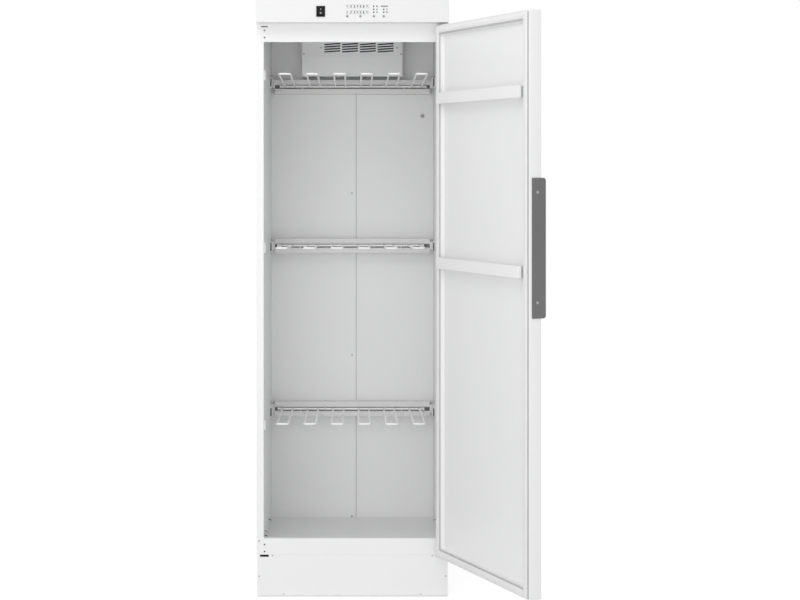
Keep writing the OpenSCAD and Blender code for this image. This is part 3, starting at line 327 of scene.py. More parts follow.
# A driven screw stops with its recess askew.
ASKEW = Vector((1, 0, 0.4)).normalized()


def screws_in_front(node, head_r, head_h, made):
    """Replaces a node of screws that are driven in from the front by screws with a recess."""
    shape = bmesh.new()
    for low, high in islands(node):
        middle = (low + high) / 2
        base = (middle.x, low.y + head_h, middle.z)
        cross_head(shape, base, (0, -1, 0), head_r, head_h, across=ASKEW)
        shank_r = 0.5 * head_r
        turned(shape, base, (0, 1, 0), [(shank_r, 0), (shank_r, high.y - base[1])], 16)
    piece_of(node + "_crossed", shape, made, "cabinet", [node])


white_enamel = finish_of("white_powder_coat", (0.868, 0.868, 0.864), (0.852, 0.853, 0.85), 0.42, 0.05,
                         1.1 * MM, 0.04 * MM, coat=0.15, sway=0.6 * MM)
galvanised = finish_of("galvanised_steel", (0.62, 0.64, 0.66), (0.53, 0.55, 0.57), 0.42, 0.1,
                       4 * MM, 0.03 * MM, patch=60, metal=1.0, spangle=6 * MM)
foot_rubber = finish_of("foot_black", (0.03, 0.03, 0.032), (0.018, 0.018, 0.02), 0.6, 0.08,
                        0.8 * MM, 0.05 * MM, patch=30)
screw_zinc = finish_of("screw_zinc", (0.55, 0.55, 0.56), (0.35, 0.35, 0.36), 0.35, 0.08,
                       0.6 * MM, 0.02 * MM, patch=200, metal=1.0)
dress("base_frame", white_enamel)
dress("levelling_feet", foot_rubber, 0.8 * MM, 3)
dress("kick_plate", white_enamel, 0.3 * MM)
screws_in_front("kick_plate_screws", 2.6 * MM, 1.2 * MM, screw_zinc)

kick_low, kick_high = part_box("kick_plate")
HEM_H, HEM_T, HEM_END = 9.5 * MM, 0.8 * MM, 2 * MM
hem_line = [(0.1 * MM, 0.5 * MM), (-0.4 * HEM_T, 0), (-HEM_T, 0.5 * MM), (-HEM_T, HEM_H - 1.2 * MM),
            (-0.75 * HEM_T, HEM_H - 0.3 * MM), (0.1 * MM, HEM_H)]
hem = bmesh.new()
hem_ends = [[hem.verts.new((x, kick_low.y + y, kick_low.z + z)) for y, z in hem_line]
            for x in (kick_low.x + HEM_END, kick_high.x - HEM_END)]
for k in range(len(hem_line) - 1):
    hem.faces.new((hem_ends[0][k], hem_ends[1][k], hem_ends[1][k + 1], hem_ends[0][k + 1]))
for end in hem_ends:
    hem.faces.new(end)
piece_of("kick_plate_hem", hem, white_enamel, "cabinet", sharp=50)

# ---- Front frame ----
# A folded frame of 1.2 mm sheet closes the carcass in front, powder-coated white. Its left
# stile keeps slots and holes for hanging the door on the other side. Plastic blanks fill the
# slots, the upper one under a white tongue, and a rivet sits in the corner.
dress("front_frame", white_enamel, 0.5 * MM, 3)
plug_grey = finish_of("blanking_grey", (0.11, 0.11, 0.112), (0.08, 0.08, 0.082), 0.7, 0.05, 0.5 * MM,
                      0.03 * MM, patch=50, shine=0.2)
# This black is the lower blank's own colour, and it also paints shade in the louvres' mouths and the
# channels' ends.
black_plug_and_painted_shade = finish_of("blanking_black_and_painted_shade", (0.012, 0.012, 0.013), (0.008, 0.008, 0.009), 0.8, 0.05,
                       0.5 * MM, 0.03 * MM, patch=50, shine=0.1)


def cushion(shape, low, high, edge):
    """A moulded block between two corners with its edges eased by edge."""
    block = bmesh.new()
    bmesh.ops.create_cube(block, size=1.0)
    low, high = Vector(low), Vector(high)
    for vert in block.verts:
        vert.co = [a + (b - a) * (c + 0.5) for a, b, c in zip(low, high, vert.co)]
    bmesh.ops.bevel(block, geom=block.edges[:], offset=edge, segments=2, affect="EDGES")
    flat = bpy.data.meshes.new("block")
    block.to_mesh(flat)
    shape.from_mesh(flat)
    bpy.data.meshes.remove(flat)
    block.free()


FRAME_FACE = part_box("front_frame")[0].y
UP_HINGE_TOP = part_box("upper_hinge_plate")[1].z
LOW_HINGE_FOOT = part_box("lower_hinge_plate")[0].z
SLOT_X0, SLOT_X1 = -283.4 * MM, -262.8 * MM


def blank(name, aside, deep, foot, head, edge, made):
    """A filler of the slot from foot up to head. It reaches aside past the slot's ends and
    lies between the two depths of deep behind the frame's face."""
    filler = bmesh.new()
    cushion(filler, (SLOT_X0 - aside, FRAME_FACE + deep[0], foot),
            (SLOT_X1 + aside, FRAME_FACE + deep[1], head), edge)
    piece_of(name, filler, made, "cabinet")


blank("upper_slot_blank", 0, (0.5 * MM, 4 * MM), UP_HINGE_TOP - 6.9 * MM, UP_HINGE_TOP + 0.2 * MM,
      0.5 * MM, plug_grey)
blank("upper_slot_tongue", 0.1 * MM, (0.1 * MM, 3 * MM), UP_HINGE_TOP - 3.6 * MM,
      UP_HINGE_TOP + 0.25 * MM, 0.2 * MM, white_enamel)
blank("lower_slot_blank", 3 * MM, (1.1 * MM, 4 * MM), LOW_HINGE_FOOT - 0.9 * MM,
      LOW_HINGE_FOOT + 5.5 * MM, 0.5 * MM, black_plug_and_painted_shade)

RIVET_X, RIVET_Z = -289.4 * MM, 173 * MM
RIVET_HEAD = [(2.9 * MM, -0.1 * MM), (2.7 * MM, 0.5 * MM), (1.9 * MM, 1.0 * MM), (0.8 * MM, 1.2 * MM)]
rivet = bmesh.new()
turned(rivet, (RIVET_X, FRAME_FACE, RIVET_Z), (0, -1, 0), RIVET_HEAD, 20)
piece_of("frame_rivet", rivet, screw_zinc, "cabinet")

# ---- Outer panels ----
# Two side panels, a top and a back of 1 mm sheet, folded at their edges and powder-coated.
# The back is held by a row of screws, and lanced hoods keep dust out of its cooling slots.
for node in ("left_side_panel", "right_side_panel", "top_panel", "rear_panel"):
    dress(node, white_enamel, 0.4 * MM, 3)

back_low, back_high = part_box("rear_panel")
BACK_EDGE, BACK_FOOT, BACK_HEAD, BACK_ROWS = 12 * MM, 30 * MM, 60 * MM, 5
back_pitch = (back_high.z - BACK_HEAD - back_low.z - BACK_FOOT) / (BACK_ROWS - 1)
rear_screws = bmesh.new()
for side in (-1, 1):
    for row in range(BACK_ROWS):
        height = back_low.z + BACK_FOOT + row * back_pitch
        place = (side * (back_high.x - BACK_EDGE), back_high.y, height)
        cross_head(rear_screws, place, (0, 1, 0), 3.4 * MM, 1.8 * MM)
piece_of("rear_panel_screws", rear_screws, screw_zinc, "cabinet")

# Each cooling slot has a hood that is pressed out of the sheet above it. It swells from its
# ends to its middle, and its lip comes down over the slot.
HOOD_OUT, HOOD_RISE, HOOD_T, SLOT_H = 3.2 * MM, 2.4 * MM, 0.8 * MM, 4 * MM
HOOD_SWELL, HOOD_LIP, HOOD_STEPS, LIP_STEPS = 0.35, 0.6, 12, 5
COOL_ROWS, COOL_PITCH, COOL_DROP = 5, 10 * MM, 70 * MM
COOL_SPANS = ((-150 * MM, -90 * MM), (-75 * MM, -15 * MM))
hoods = bmesh.new()
for row in range(COOL_ROWS):
    slot_z = back_high.z - COOL_DROP + row * COOL_PITCH
    for x0, x1 in COOL_SPANS:
        arcs = []
        for k in range(HOOD_STEPS + 1):
            along = k / HOOD_STEPS
            swell = math.sin(math.pi * along) ** HOOD_SWELL
            line = []
            for j in range(LIP_STEPS + 1):
                down = j / LIP_STEPS
                fall = math.radians(90 * down)
                y = back_high.y + swell * HOOD_OUT * math.sin(fall)
                z = slot_z + SLOT_H + HOOD_RISE * swell * math.cos(fall) - HOOD_LIP * SLOT_H * down ** 2
                line.append(hoods.verts.new((x0 + (x1 - x0) * along, y, z)))
            arcs.append(line)
        for left, right in zip(arcs, arcs[1:]):
            for j in range(LIP_STEPS):
                hoods.faces.new((left[j], right[j], right[j + 1], left[j + 1]))
hood_piece = piece_of("cooling_hoods", hoods, white_enamel, "cabinet", sharp=60)
hood_skin = hood_piece.modifiers.new("sheet_thickness", "SOLIDIFY")
hood_skin.thickness = HOOD_T

# ---- Liner: inner walls, floor and ceiling ----
# The drying room is lined with enamelled sheet. Low in its side walls are lanced air louvres,
# and the two sheets of its rear wall lap in the middle, under a row of screws.
liner_enamel = finish_of("liner_powder_coat", (0.842, 0.845, 0.842), (0.824, 0.827, 0.824), 0.5, 0.05,
                         1.1 * MM, 0.04 * MM, sway=0.8 * MM)
wool = finish_of("mineral_wool", (0.75, 0.68, 0.42), (0.6, 0.52, 0.3), 0.95, 0.04, 2 * MM, 0.6 * MM,
                 patch=90, stretch=(1, 1, 5))
for node in ("left_inner_wall", "right_inner_wall", "rear_inner_wall_left", "rear_inner_wall_right",
             "floor_pan", "inner_ceiling"):
    dress(node, liner_enamel, 0.3 * MM)
for node in ("side_insulation", "rear_insulation"):
    dress(node, wool, 1.5 * MM)
screws_in_front("seam_screws", 3.2 * MM, 1.6 * MM, screw_zinc)

# A dark grey bead runs along the lap, and a black block in each louvre's mouth is painted shade for the
# dark hollow behind it.
SHEET = 1 * MM
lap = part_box("rear_inner_wall_left")
ROOM_X, REAR_Y = -lap[0].x - SHEET, lap[0].y
FLOOR_Z, ROOF_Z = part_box("floor_pan")[1].z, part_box("inner_ceiling")[0].z
# A dark grey bead, darker than the liner, runs in the corner of the lap from floor to ceiling.
lap_bead_grey = finish_of("lap_bead_dark_grey", (0.16, 0.16, 0.16), (0.11, 0.11, 0.11), 0.6, 0.05, 0.8 * MM,
                    0.08 * MM, patch=60)
BEAD_W, BEAD_SUNK = 1.3 * MM, 0.25 * MM
bead = bmesh.new()
cushion(bead, (lap[1].x, REAR_Y + BEAD_SUNK, FLOOR_Z), (lap[1].x + BEAD_W, REAR_Y + SHEET, ROOF_Z),
        0.2 * MM)
piece_of("lap_dark_bead", bead, lap_bead_grey, "cabinet")

# Places of the louvres: how deep in the room, and the height of the mouth's middle at the wall.
FRONT_LOUVRE_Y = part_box("left_inner_wall")[0].y + 62.5 * MM
BACK_LOUVRE_Y = REAR_Y - 204.5 * MM
LOUVRES = ((FRONT_LOUVRE_Y, FLOOR_Z + 37 * MM), (FRONT_LOUVRE_Y, FLOOR_Z + 51.5 * MM),
           (BACK_LOUVRE_Y, FLOOR_Z + 37 * MM))
LOUVRE_OUT, LOUVRE_FALL, MOUTH = 9 * MM, 5 * MM, 4 * MM
MOUTH_SHADE_FRONT, MOUTH_SHADE_REAR, MOUTH_SHADE_H, MOUTH_SHADE_SHORT = 0.2 * MM, 0.9 * MM, 0.47, 0.2 * MM
# Black blocks in the louvres' mouths: painted shade for the hollows.
louvre_mouth_shade = bmesh.new()
for side in (-1, 1):
    for y, z in LOUVRES:
        ends = []
        for out in (0, LOUVRE_OUT - MOUTH_SHADE_SHORT):
            mid = z - LOUVRE_FALL * out / LOUVRE_OUT
            ends.append([louvre_mouth_shade.verts.new((side * (ROOM_X - out), y + back, mid + rise * MOUTH))
                         for back in (MOUTH_SHADE_FRONT, MOUTH_SHADE_REAR) for rise in (-MOUTH_SHADE_H, MOUTH_SHADE_H)])
        (a, b, c, d), (e, f, g, h) = ends
        sides = ((a, b, f, e), (c, d, h, g), (a, e, g, c), (b, d, h, f), (a, c, d, b), (e, f, h, g))
        for corners in sides:
            louvre_mouth_shade.faces.new(corners)
piece_of("louvre_mouth_painted_shade", louvre_mouth_shade, black_plug_and_painted_shade, "cabinet")

# ---- Duct cover with its intake grille ----
# A folded cover under the ceiling hides the heater. Moist air goes in through sixteen slots in
# a screwed-on plate, and a pleated lint screen lies behind them.
dress("duct_cover", liner_enamel, 0.5 * MM)
dress("intake_grille", liner_enamel, 0.3 * MM)
screws_in_front("cover_screws", 3.0 * MM, 1.4 * MM, screw_zinc)

# The lint screen's near-black colour is painted shade for the dark duct behind the slots.
lint_painted_shade = finish_of("lint_screen_painted_shade", (0.06, 0.06, 0.063), (0.03, 0.03, 0.032), 0.9, 0.05, 0.7 * MM,
                      0.3 * MM, patch=120)
grille_low, grille_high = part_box("intake_grille")
SCREEN_EDGE, SCREEN_TRIM, SCREEN_BACK, FELT_T = 12 * MM, 2 * MM, 1.4 * MM, 0.5 * MM
PLEATS, PLEAT_D = 70, 5 * MM
fold_w = (grille_high.x - grille_low.x - 2 * SCREEN_EDGE) / (2 * PLEATS)
screen = bmesh.new()
creases = []
for k in range(2 * PLEATS + 1):
    x = grille_low.x + SCREEN_EDGE + k * fold_w
    y = grille_high.y + SCREEN_BACK + (PLEAT_D if k % 2 else 0)
    creases.append([screen.verts.new((x, y, z))
                    for z in (grille_low.z + SCREEN_TRIM, grille_high.z - SCREEN_TRIM)])
for left, right in zip(creases, creases[1:]):
    screen.faces.new((left[0], right[0], right[1], left[1]))
screen_piece = piece_of("lint_screen_painted_shade", screen, lint_painted_shade, "cabinet", sharp=20)
screen_felt = screen_piece.modifiers.new("felt_thickness", "SOLIDIFY")
screen_felt.thickness = FELT_T

# ---- Heater, fan and exhaust ----
# Three sheathed heater loops hang on two brackets in the duct. The fan wheel turns in a
# galvanised scroll over the ceiling and blows into the collar on the roof. A black gland is
# clamped in the rear panel.
heater_metal = finish_of("heater_tube", (0.3, 0.27, 0.25), (0.2, 0.17, 0.16), 0.4, 0.1, 1 * MM,
                         0.02 * MM, patch=20, metal=1.0)
motor_paint = finish_of("motor_paint", (0.09, 0.092, 0.095), (0.06, 0.062, 0.065), 0.45, 0.08, 0.9 * MM,
                        0.05 * MM, patch=18)
dress("heating_element", heater_metal)
for node in ("fan_housing", "fan_wheel"):
    dress(node, galvanised)
dress("fan_motor", motor_paint, 0.8 * MM)
dress("cable_gland", foot_rubber, 0.8 * MM)

collar_low, collar_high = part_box("exhaust_collar")
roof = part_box("top_panel")[1].z
collar_place = ((collar_low.x + collar_high.x) / 2, (collar_low.y + collar_high.y) / 2, 0)
FLANGE_R = (collar_high.x - collar_low.x) / 2
DUCT_R = FLANGE_R - 12 * MM
COLLAR_WALL = 1.2 * MM
SPIGOT_R = DUCT_R - 3 * MM
GROOVES, GROOVE_IN, GROOVE_H, GROOVE_STEPS = (8 * MM, 17 * MM), 0.9 * MM, 4 * MM, 6
# The tube's outside, from the flange up: two rolled grooves hold a sealing lip, and the
# mouth is drawn in a little.
outside = [(DUCT_R, roof + COLLAR_WALL)]
for groove in GROOVES:
    for k in range(GROOVE_STEPS + 1):
        bend = math.sin(math.pi * k / GROOVE_STEPS)
        outside.append((DUCT_R - GROOVE_IN * bend, roof + groove + GROOVE_H * k / GROOVE_STEPS))
outside += [(DUCT_R, collar_high.z - 3 * MM), (DUCT_R - 0.8 * MM, collar_high.z),
            (DUCT_R - 1.4 * MM, collar_high.z)]
inside = [(r - COLLAR_WALL, z) for r, z in reversed(outside[:-2])]
shell = ([(SPIGOT_R, collar_low.z), (SPIGOT_R, roof), (FLANGE_R, roof), (FLANGE_R, roof + COLLAR_WALL)]
         + outside + inside + [(SPIGOT_R - COLLAR_WALL, roof + COLLAR_WALL),
                               (SPIGOT_R - COLLAR_WALL, collar_low.z), (SPIGOT_R, collar_low.z)])
collar = bmesh.new()
turned(collar, collar_place, (0, 0, 1), shell, sides=96, capped=False)
COLLAR_RIVETS, RIVET_EDGE = 6, 6 * MM
COLLAR_RIVET = [(2.6 * MM, -0.2 * MM), (2.4 * MM, 0.5 * MM), (1.5 * MM, 1.1 * MM), (0.4 * MM, 1.3 * MM)]
flange_top = Vector(collar_place) + Vector((0, 0, roof + COLLAR_WALL))
for k in range(COLLAR_RIVETS):
    turn = math.radians(30 + 360 * k / COLLAR_RIVETS)
    aside = Vector((math.cos(turn), math.sin(turn), 0)) * (FLANGE_R - RIVET_EDGE)
    turned(collar, flange_top + aside, (0, 0, 1), COLLAR_RIVET, 20)
piece_of("rolled_exhaust_collar", collar, galvanised, "cabinet", ["exhaust_collar"])

# ---- Fascia and its print ----
# The fascia is a folded white box over the door. Its print is dark: a thin outline round each
# window, a ring round each lamp with a plain sign beside it, and a row of bars.
fascia_enamel = finish_of("fascia_powder_coat", (0.785, 0.785, 0.782), (0.77, 0.77, 0.768), 0.4, 0.05,
                          1.0 * MM, 0.03 * MM, coat=0.15, sway=0.4 * MM)
dress("control_fascia", fascia_enamel, 0.5 * MM, 3)
print_ink = finish_of("print_ink", (0.03, 0.03, 0.032), (0.02, 0.02, 0.022), 0.6, 0.05, 0.4 * MM,
                      0.01 * MM, patch=60, shine=0.2)
FACE_Y, INK_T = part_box("control_fascia")[0].y, 0.06 * MM


def stroke(shape, a, b, width):
    """A printed line from a to b on the fascia, in metres across and up."""
    start, end = Vector((a[0], 0, a[1])), Vector((b[0], 0, b[1]))
    along = (end - start).normalized()
    side = Vector((-along.z, 0, along.x)) * width / 2
    corners = [start - side, end - side, end + side, start + side]
    flat = [shape.verts.new((c.x, FACE_Y - INK_T, c.z)) for c in corners]
    rear = [shape.verts.new((c.x, FACE_Y + INK_T, c.z)) for c in corners]
    shape.faces.new(flat)
    for k in range(4):
        shape.faces.new((flat[k], flat[(k + 1) % 4], rear[(k + 1) % 4], rear[k]))


def outline(shape, points, width):
    """A printed line through all the points."""
    for a, b in zip(points, points[1:]):
        stroke(shape, a, b, width)


def arc(cx, cz, r, start, end, steps):
    """Points on a circle about (cx, cz), from one angle to another in degrees."""
    turns = [math.radians(start + (end - start) * k / steps) for k in range(steps + 1)]
    return [(cx + r * math.cos(t), cz + r * math.sin(t)) for t in turns]


LINE, PEN = 0.4 * MM, 0.95 * MM
ink = bmesh.new()
windows = islands("indicator_windows")
for low, high in windows:
    x0, x1, z0, z1 = low.x - LINE, high.x + LINE, low.z - LINE, high.z + LINE
    outline(ink, [(x0, z0), (x1, z0), (x1, z1), (x0, z1), (x0, z0)], LINE)
lamp_boxes = islands("indicator_lamps")
RING, SIGN_OUT, SIGN_R = 2.0 * MM, 10.0 * MM, 2.1 * MM
WAVE_R, WAVE_RISE = 1.1 * MM, 1.2 * MM
for count, (low, high) in enumerate(lamp_boxes):
    cx, cz = (low.x + high.x) / 2, (low.z + high.z) / 2
    outline(ink, arc(cx, cz, RING, 0, 360, 16), PEN)
    cx += SIGN_OUT
    if count % 3 == 0:
        # A clock
        outline(ink, arc(cx, cz, SIGN_R, 0, 360, 16), PEN)
        stroke(ink, (cx, cz), (cx, cz + SIGN_R * 0.8), PEN)
    elif count % 3 == 1:
        # Three waves of warm air
        for lift in (-WAVE_RISE, 0, WAVE_RISE):
            outline(ink, arc(cx - WAVE_R, cz + lift, WAVE_R, 180, 0, 5), PEN)
            outline(ink, arc(cx + WAVE_R, cz + lift, WAVE_R, 180, 360, 5), PEN)
    else:
        # A wheel of four crossed strokes
        for turn in range(0, 180, 45):
            tip = Vector((math.cos(math.radians(turn)), math.sin(math.radians(turn)))) * SIGN_R
            stroke(ink, (cx - tip.x, cz - tip.y), (cx + tip.x, cz + tip.y), PEN)

# A row of bars is printed level with the highest lamps.
BARS, BAR_W, BAR_H, BAR_STEP, BARS_ASIDE = 7, 1.9 * MM, 4.6 * MM, 3.1 * MM, 3.5 * MM
last_low, last_high = max(lamp_boxes, key=lambda box: (box[0].x, box[0].z))
bars_z = max((low.z + high.z) / 2 for low, high in lamp_boxes)
for k in range(BARS):
    x = (last_low.x + last_high.x) / 2 + (k - BARS / 2) * BAR_STEP + BARS_ASIDE
    stroke(ink, (x, bars_z - BAR_H / 2), (x, bars_z + BAR_H / 2), BAR_W)
piece_of("fascia_print", ink, print_ink, "cabinet")

# ---- Windows, lamps, buttons and the board behind them ----
# The windows are pale plastic with printed figures, the lamps small domes that are dark while
# unlit, and the buttons grey plastic caps with a hollow for the fingertip. The lamps and the
# buttons stand on a green circuit board.
window_pale = finish_of("window_pale", (0.80, 0.80, 0.80), (0.76, 0.76, 0.765), 0.2, 0.03, 1 * MM,
                        0.01 * MM, patch=12)
dress("indicator_windows", window_pale, 0.3 * MM)

# The scale counts from 1 to 7. Each figure is drawn on a grid two wide and four high.
FIGURES = ([[(0.3, 3.2), (1, 4), (1, 0)]],
           [[(0, 4), (2, 4), (2, 2), (0, 2), (0, 0), (2, 0)]],
           [[(0, 4), (2, 4), (2, 0), (0, 0)], [(0.5, 2), (2, 2)]],
           [[(0, 4), (0, 2), (2, 2)], [(2, 4), (2, 0)]],
           [[(2, 4), (0, 4), (0, 2), (2, 2), (2, 0), (0, 0)]],
           [[(2, 4), (0, 4), (0, 0), (2, 0), (2, 2), (0, 2)]],
           [[(0, 4), (2, 4), (0.8, 0)]])
UNIT, FIGURE_PEN, FIGURE_AT, WINDOW_OUT = 1.35 * MM, 1.6 * MM, 0.4, 0.2 * MM
figures = bmesh.new()
for low, high in windows:
    for k, figure in enumerate(FIGURES):
        x = low.x + (high.x - low.x) * (k + FIGURE_AT) / len(FIGURES) - UNIT
        z = (low.z + high.z) / 2 - 2 * UNIT
        for line in figure:
            outline(figures, [(x + i * UNIT, z + j * UNIT) for i, j in line], FIGURE_PEN)
for vert in figures.verts:
    vert.co.y -= WINDOW_OUT
piece_of("window_figures", figures, print_ink, "cabinet")

lamp_clear = finish_of("lamp_clear", (0.05, 0.05, 0.052), (0.03, 0.03, 0.032), 0.25, 0.03, 1 * MM,
                       0.01 * MM, patch=80, shine=0.3)
DOME_H, DOME_TURNS = 0.5 * MM, [math.radians(a) for a in (0, 30, 55, 75)]
lamps = bmesh.new()
for low, high in lamp_boxes:
    middle = (low + high) / 2
    r = (high.x - low.x) / 2
    dome = [(r * math.cos(a), DOME_H * math.sin(a)) for a in DOME_TURNS]
    turned(lamps, (middle.x, low.y + DOME_H, middle.z), (0, -1, 0), [(r, low.y - high.y)] + dome, 24)
piece_of("lamp_domes", lamps, lamp_clear, "cabinet", ["indicator_lamps"])

button_grey = finish_of("button_grey", (0.27, 0.275, 0.28), (0.23, 0.235, 0.24), 0.4, 0.05, 0.5 * MM,
                        0.02 * MM, patch=50)
SKIRT_W, SKIRT_T = 1 * MM, 0.8 * MM
for name in ("program", "time", "heat", "start"):
    low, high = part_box(name + "_button")
    middle = (low + high) / 2
    skirt_r = (high.x - low.x) / 2
    cap_r = skirt_r - SKIRT_W
    tall = high.y - low.y
    # From the skirt behind the fascia, over the rounded edge, to the hollow's middle.
    rings = [(skirt_r, 0), (skirt_r, SKIRT_T), (cap_r, SKIRT_T), (cap_r, tall - 0.5 * MM),
             (cap_r - 0.15 * MM, tall - 0.15 * MM), (cap_r - 0.5 * MM, tall),
             (cap_r - 1.1 * MM, tall - 0.1 * MM), (cap_r * 0.4, tall - 0.35 * MM),
             (0.1 * MM, tall - 0.4 * MM)]
    cap = bmesh.new()
    turned(cap, (middle.x, high.y, middle.z), (0, -1, 0), rings, 40)
    piece_of(name + "_cap", cap, button_grey, "button_" + name, [name + "_button"])

board_green = finish_of("board_green", (0.03, 0.2, 0.1), (0.02, 0.15, 0.07), 0.4, 0.1, 1 * MM,
                        0.02 * MM, patch=40)
dress("control_board", board_green)

# ---- Power switch ----
# A black rocker switch is snapped into the fascia. Its rocker is a moulded bow with a plain
# line on the half that switches on and a ring on the other.
switch_black = finish_of("switch_black", (0.012, 0.012, 0.013), (0.008, 0.008, 0.009), 0.5, 0.06,
                         0.5 * MM, 0.02 * MM, patch=40, shine=0.15)
mark_white = finish_of("mark_white", (0.82, 0.82, 0.8), (0.74, 0.74, 0.72), 0.5, 0.05, 0.4 * MM,
                       0.01 * MM, patch=60)
dress("switch_housing", switch_black, 0.8 * MM, 3)
dress("power_rocker", switch_black, 0.6 * MM, 3)
rocker_joint = next(j for j in frame["joints"] if j["name"] == "power_rocker_tilt")
ROCKER = Vector(rocker_joint["pos_m"])
ROCKER_TILT = math.radians(7)
ROCKER_DISH, ROCKER_TIP, ROCKER_HALF, PAINT_OUT = 5.5 * MM, 6.9 * MM, 11.5 * MM, 0.05 * MM
signs = bmesh.new()


def on_rocker(x, z):
    """A point on the rocker's face, a hair proud of it, at x across and z up its face."""
    out = ROCKER_DISH + (ROCKER_TIP - ROCKER_DISH) * abs(z) / ROCKER_HALF + PAINT_OUT
    return ROCKER + Matrix.Rotation(-ROCKER_TILT, 3, "X") @ Vector((x, -out, z))


def on_rocker_band(points, width):
    """A painted band through points on the rocker's face."""
    edges = []
    for k, (x, z) in enumerate(points):
        ahead = Vector(points[min(k + 1, len(points) - 1)]) - Vector(points[max(k - 1, 0)])
        aside = Vector((-ahead.y, ahead.x)).normalized() * width / 2
        edges.append([signs.verts.new(on_rocker(x + s * aside.x, z + s * aside.y)) for s in (-1, 1)])
    for a, b in zip(edges, edges[1:]):
        signs.faces.new((a[0], b[0], b[1], a[1]))


ON_FOOT, ON_HEAD, ON_W = 3.6 * MM, 8.2 * MM, 0.9 * MM
OFF_Z, OFF_R, OFF_W = -5.9 * MM, 2.1 * MM, 0.8 * MM
on_rocker_band([(0, ON_FOOT), (0, ON_HEAD)], ON_W)
on_rocker_band(arc(0, OFF_Z, OFF_R, 0, 360, 24), OFF_W)
piece_of("rocker_signs", signs, mark_white, "rocker")

# ---- Rack rails and their brackets ----
# Three C-shaped rails of white-coated sheet cross the room at the rear wall. Each is carried
# at its ends by a channel that is screwed to the side wall and open to the front.
# The rails' white is darker than the wires' white: painted shade for the shade that falls on the rails
# and in their slot.
rail_white_painted_shade = finish_of("rail_white_painted_shade", (0.76, 0.76, 0.755), (0.74, 0.74, 0.735), 0.45, 0.05, 1.2 * MM,
                       0.04 * MM)
for node in ("upper_rack_rail", "middle_rack_rail", "lower_rack_rail"):
    dress(node, rail_white_painted_shade, 0.6 * MM, 3)
dress("rail_end_brackets", liner_enamel, 0.5 * MM, 3)

# A black block in the open end of each channel is painted shade for the dark hollow inside it.
BRACKET_L, BRACKET_OUT, BRACKET_T, BRACKET_H = 124 * MM, 7 * MM, 1.5 * MM, 30 * MM
BRACKET_LIFT = {"upper": 11 * MM, "middle": 0, "lower": 0}
CHANNEL_SHADE_SLACK, CHANNEL_SHADE_SUNK, CHANNEL_SHADE_L, CHANNEL_SHADE_TRIM = 0.05 * MM, 1.2 * MM, 7.8 * MM, 1.6 * MM
channel_shade_y = REAR_Y - BRACKET_L + CHANNEL_SHADE_SUNK
channel_shade_h = BRACKET_H - 2 * CHANNEL_SHADE_TRIM
channel_shades = bmesh.new()
for name, lift in BRACKET_LIFT.items():
    rail_low, rail_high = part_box(name + "_rack_rail")
    foot = (rail_low.z + rail_high.z) / 2 + lift - channel_shade_h / 2
    for side in (-1, 1):
        x0, x1 = sorted((side * (ROOM_X - BRACKET_OUT + BRACKET_T + CHANNEL_SHADE_SLACK),
                         side * (ROOM_X - BRACKET_T - CHANNEL_SHADE_SLACK)))
        cushion(channel_shades, (x0, channel_shade_y, foot), (x1, channel_shade_y + CHANNEL_SHADE_L, foot + channel_shade_h), 0.8 * MM)
piece_of("channel_painted_shade", channel_shades, black_plug_and_painted_shade, "cabinet")

SIDE_HEAD_R, SIDE_HEAD_H = 3 * MM, 1.5 * MM
side_screws = bmesh.new()
for low, high in islands("bracket_screws"):
    middle = (low + high) / 2
    inward = -1 if middle.x > 0 else 1
    under_head = (high.x if inward > 0 else low.x) - inward * SIDE_HEAD_H
    cross_head(side_screws, (under_head, middle.y, middle.z), (inward, 0, 0), SIDE_HEAD_R, SIDE_HEAD_H)
piece_of("bracket_screws_crossed", side_screws, screw_zinc, "cabinet", ["bracket_screws"])

# ---- Hanging racks ----
# Each rack is a rod with six arms of bent 6 mm wire, welded on and coated white. It hangs on
# the rail's lugs and folds up by hand.
wire_white = finish_of("wire_white", (0.9, 0.9, 0.895), (0.88, 0.88, 0.875), 0.3, 0.05, 1.5 * MM,
                       0.03 * MM, coat=0.3)
ROD_R, WIRE_R, WELD_L = 3.5 * MM, 3 * MM, 5 * MM
ARM_W, ARMS, ARM_EDGE = 34.5 * MM, 6, 48.75 * MM
# The weld swells from the wire towards the rod.
WELD = [(WIRE_R + 1.1 * MM, ROD_R - 1.6 * MM), (WIRE_R + 0.9 * MM, ROD_R),
        (WIRE_R + 0.45 * MM, ROD_R + 0.3 * WELD_L), (WIRE_R + 0.1 * MM, ROD_R + 0.7 * WELD_L),
        (WIRE_R - 0.1 * MM, ROD_R + WELD_L)]
# How much the arms rise to the front, in degrees.
RISE = {"upper": 2.1, "middle": 1.5, "lower": 2.1}
for name, rise in RISE.items():
    node = name + "_hanging_rack"
    dress(node, wire_white, 0.3 * MM)
    low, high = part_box(node)
    rail_low, rail_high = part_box(name + "_rack_rail")
    pitch = (rail_high.x - rail_low.x - 2 * ARM_EDGE) / (ARMS - 1)
    first_arm = (low.x + high.x) / 2 - (ARMS - 1) / 2 * pitch
    rod = Vector(next(j for j in frame["joints"] if j["name"] == name + "_rack_fold")["pos_m"])
    slope = math.radians(rise)
    out = Vector((0, -math.cos(slope), math.sin(slope)))
    welds = bmesh.new()
    for k in range(ARMS):
        for side in (-1, 1):
            place = (first_arm + k * pitch + side * ARM_W / 2, rod.y, rod.z)
            turned(welds, place, out, WELD, 20, capped=False)
    piece_of(name + "_rack_welds", welds, wire_white, "rack_" + name, sharp=60)

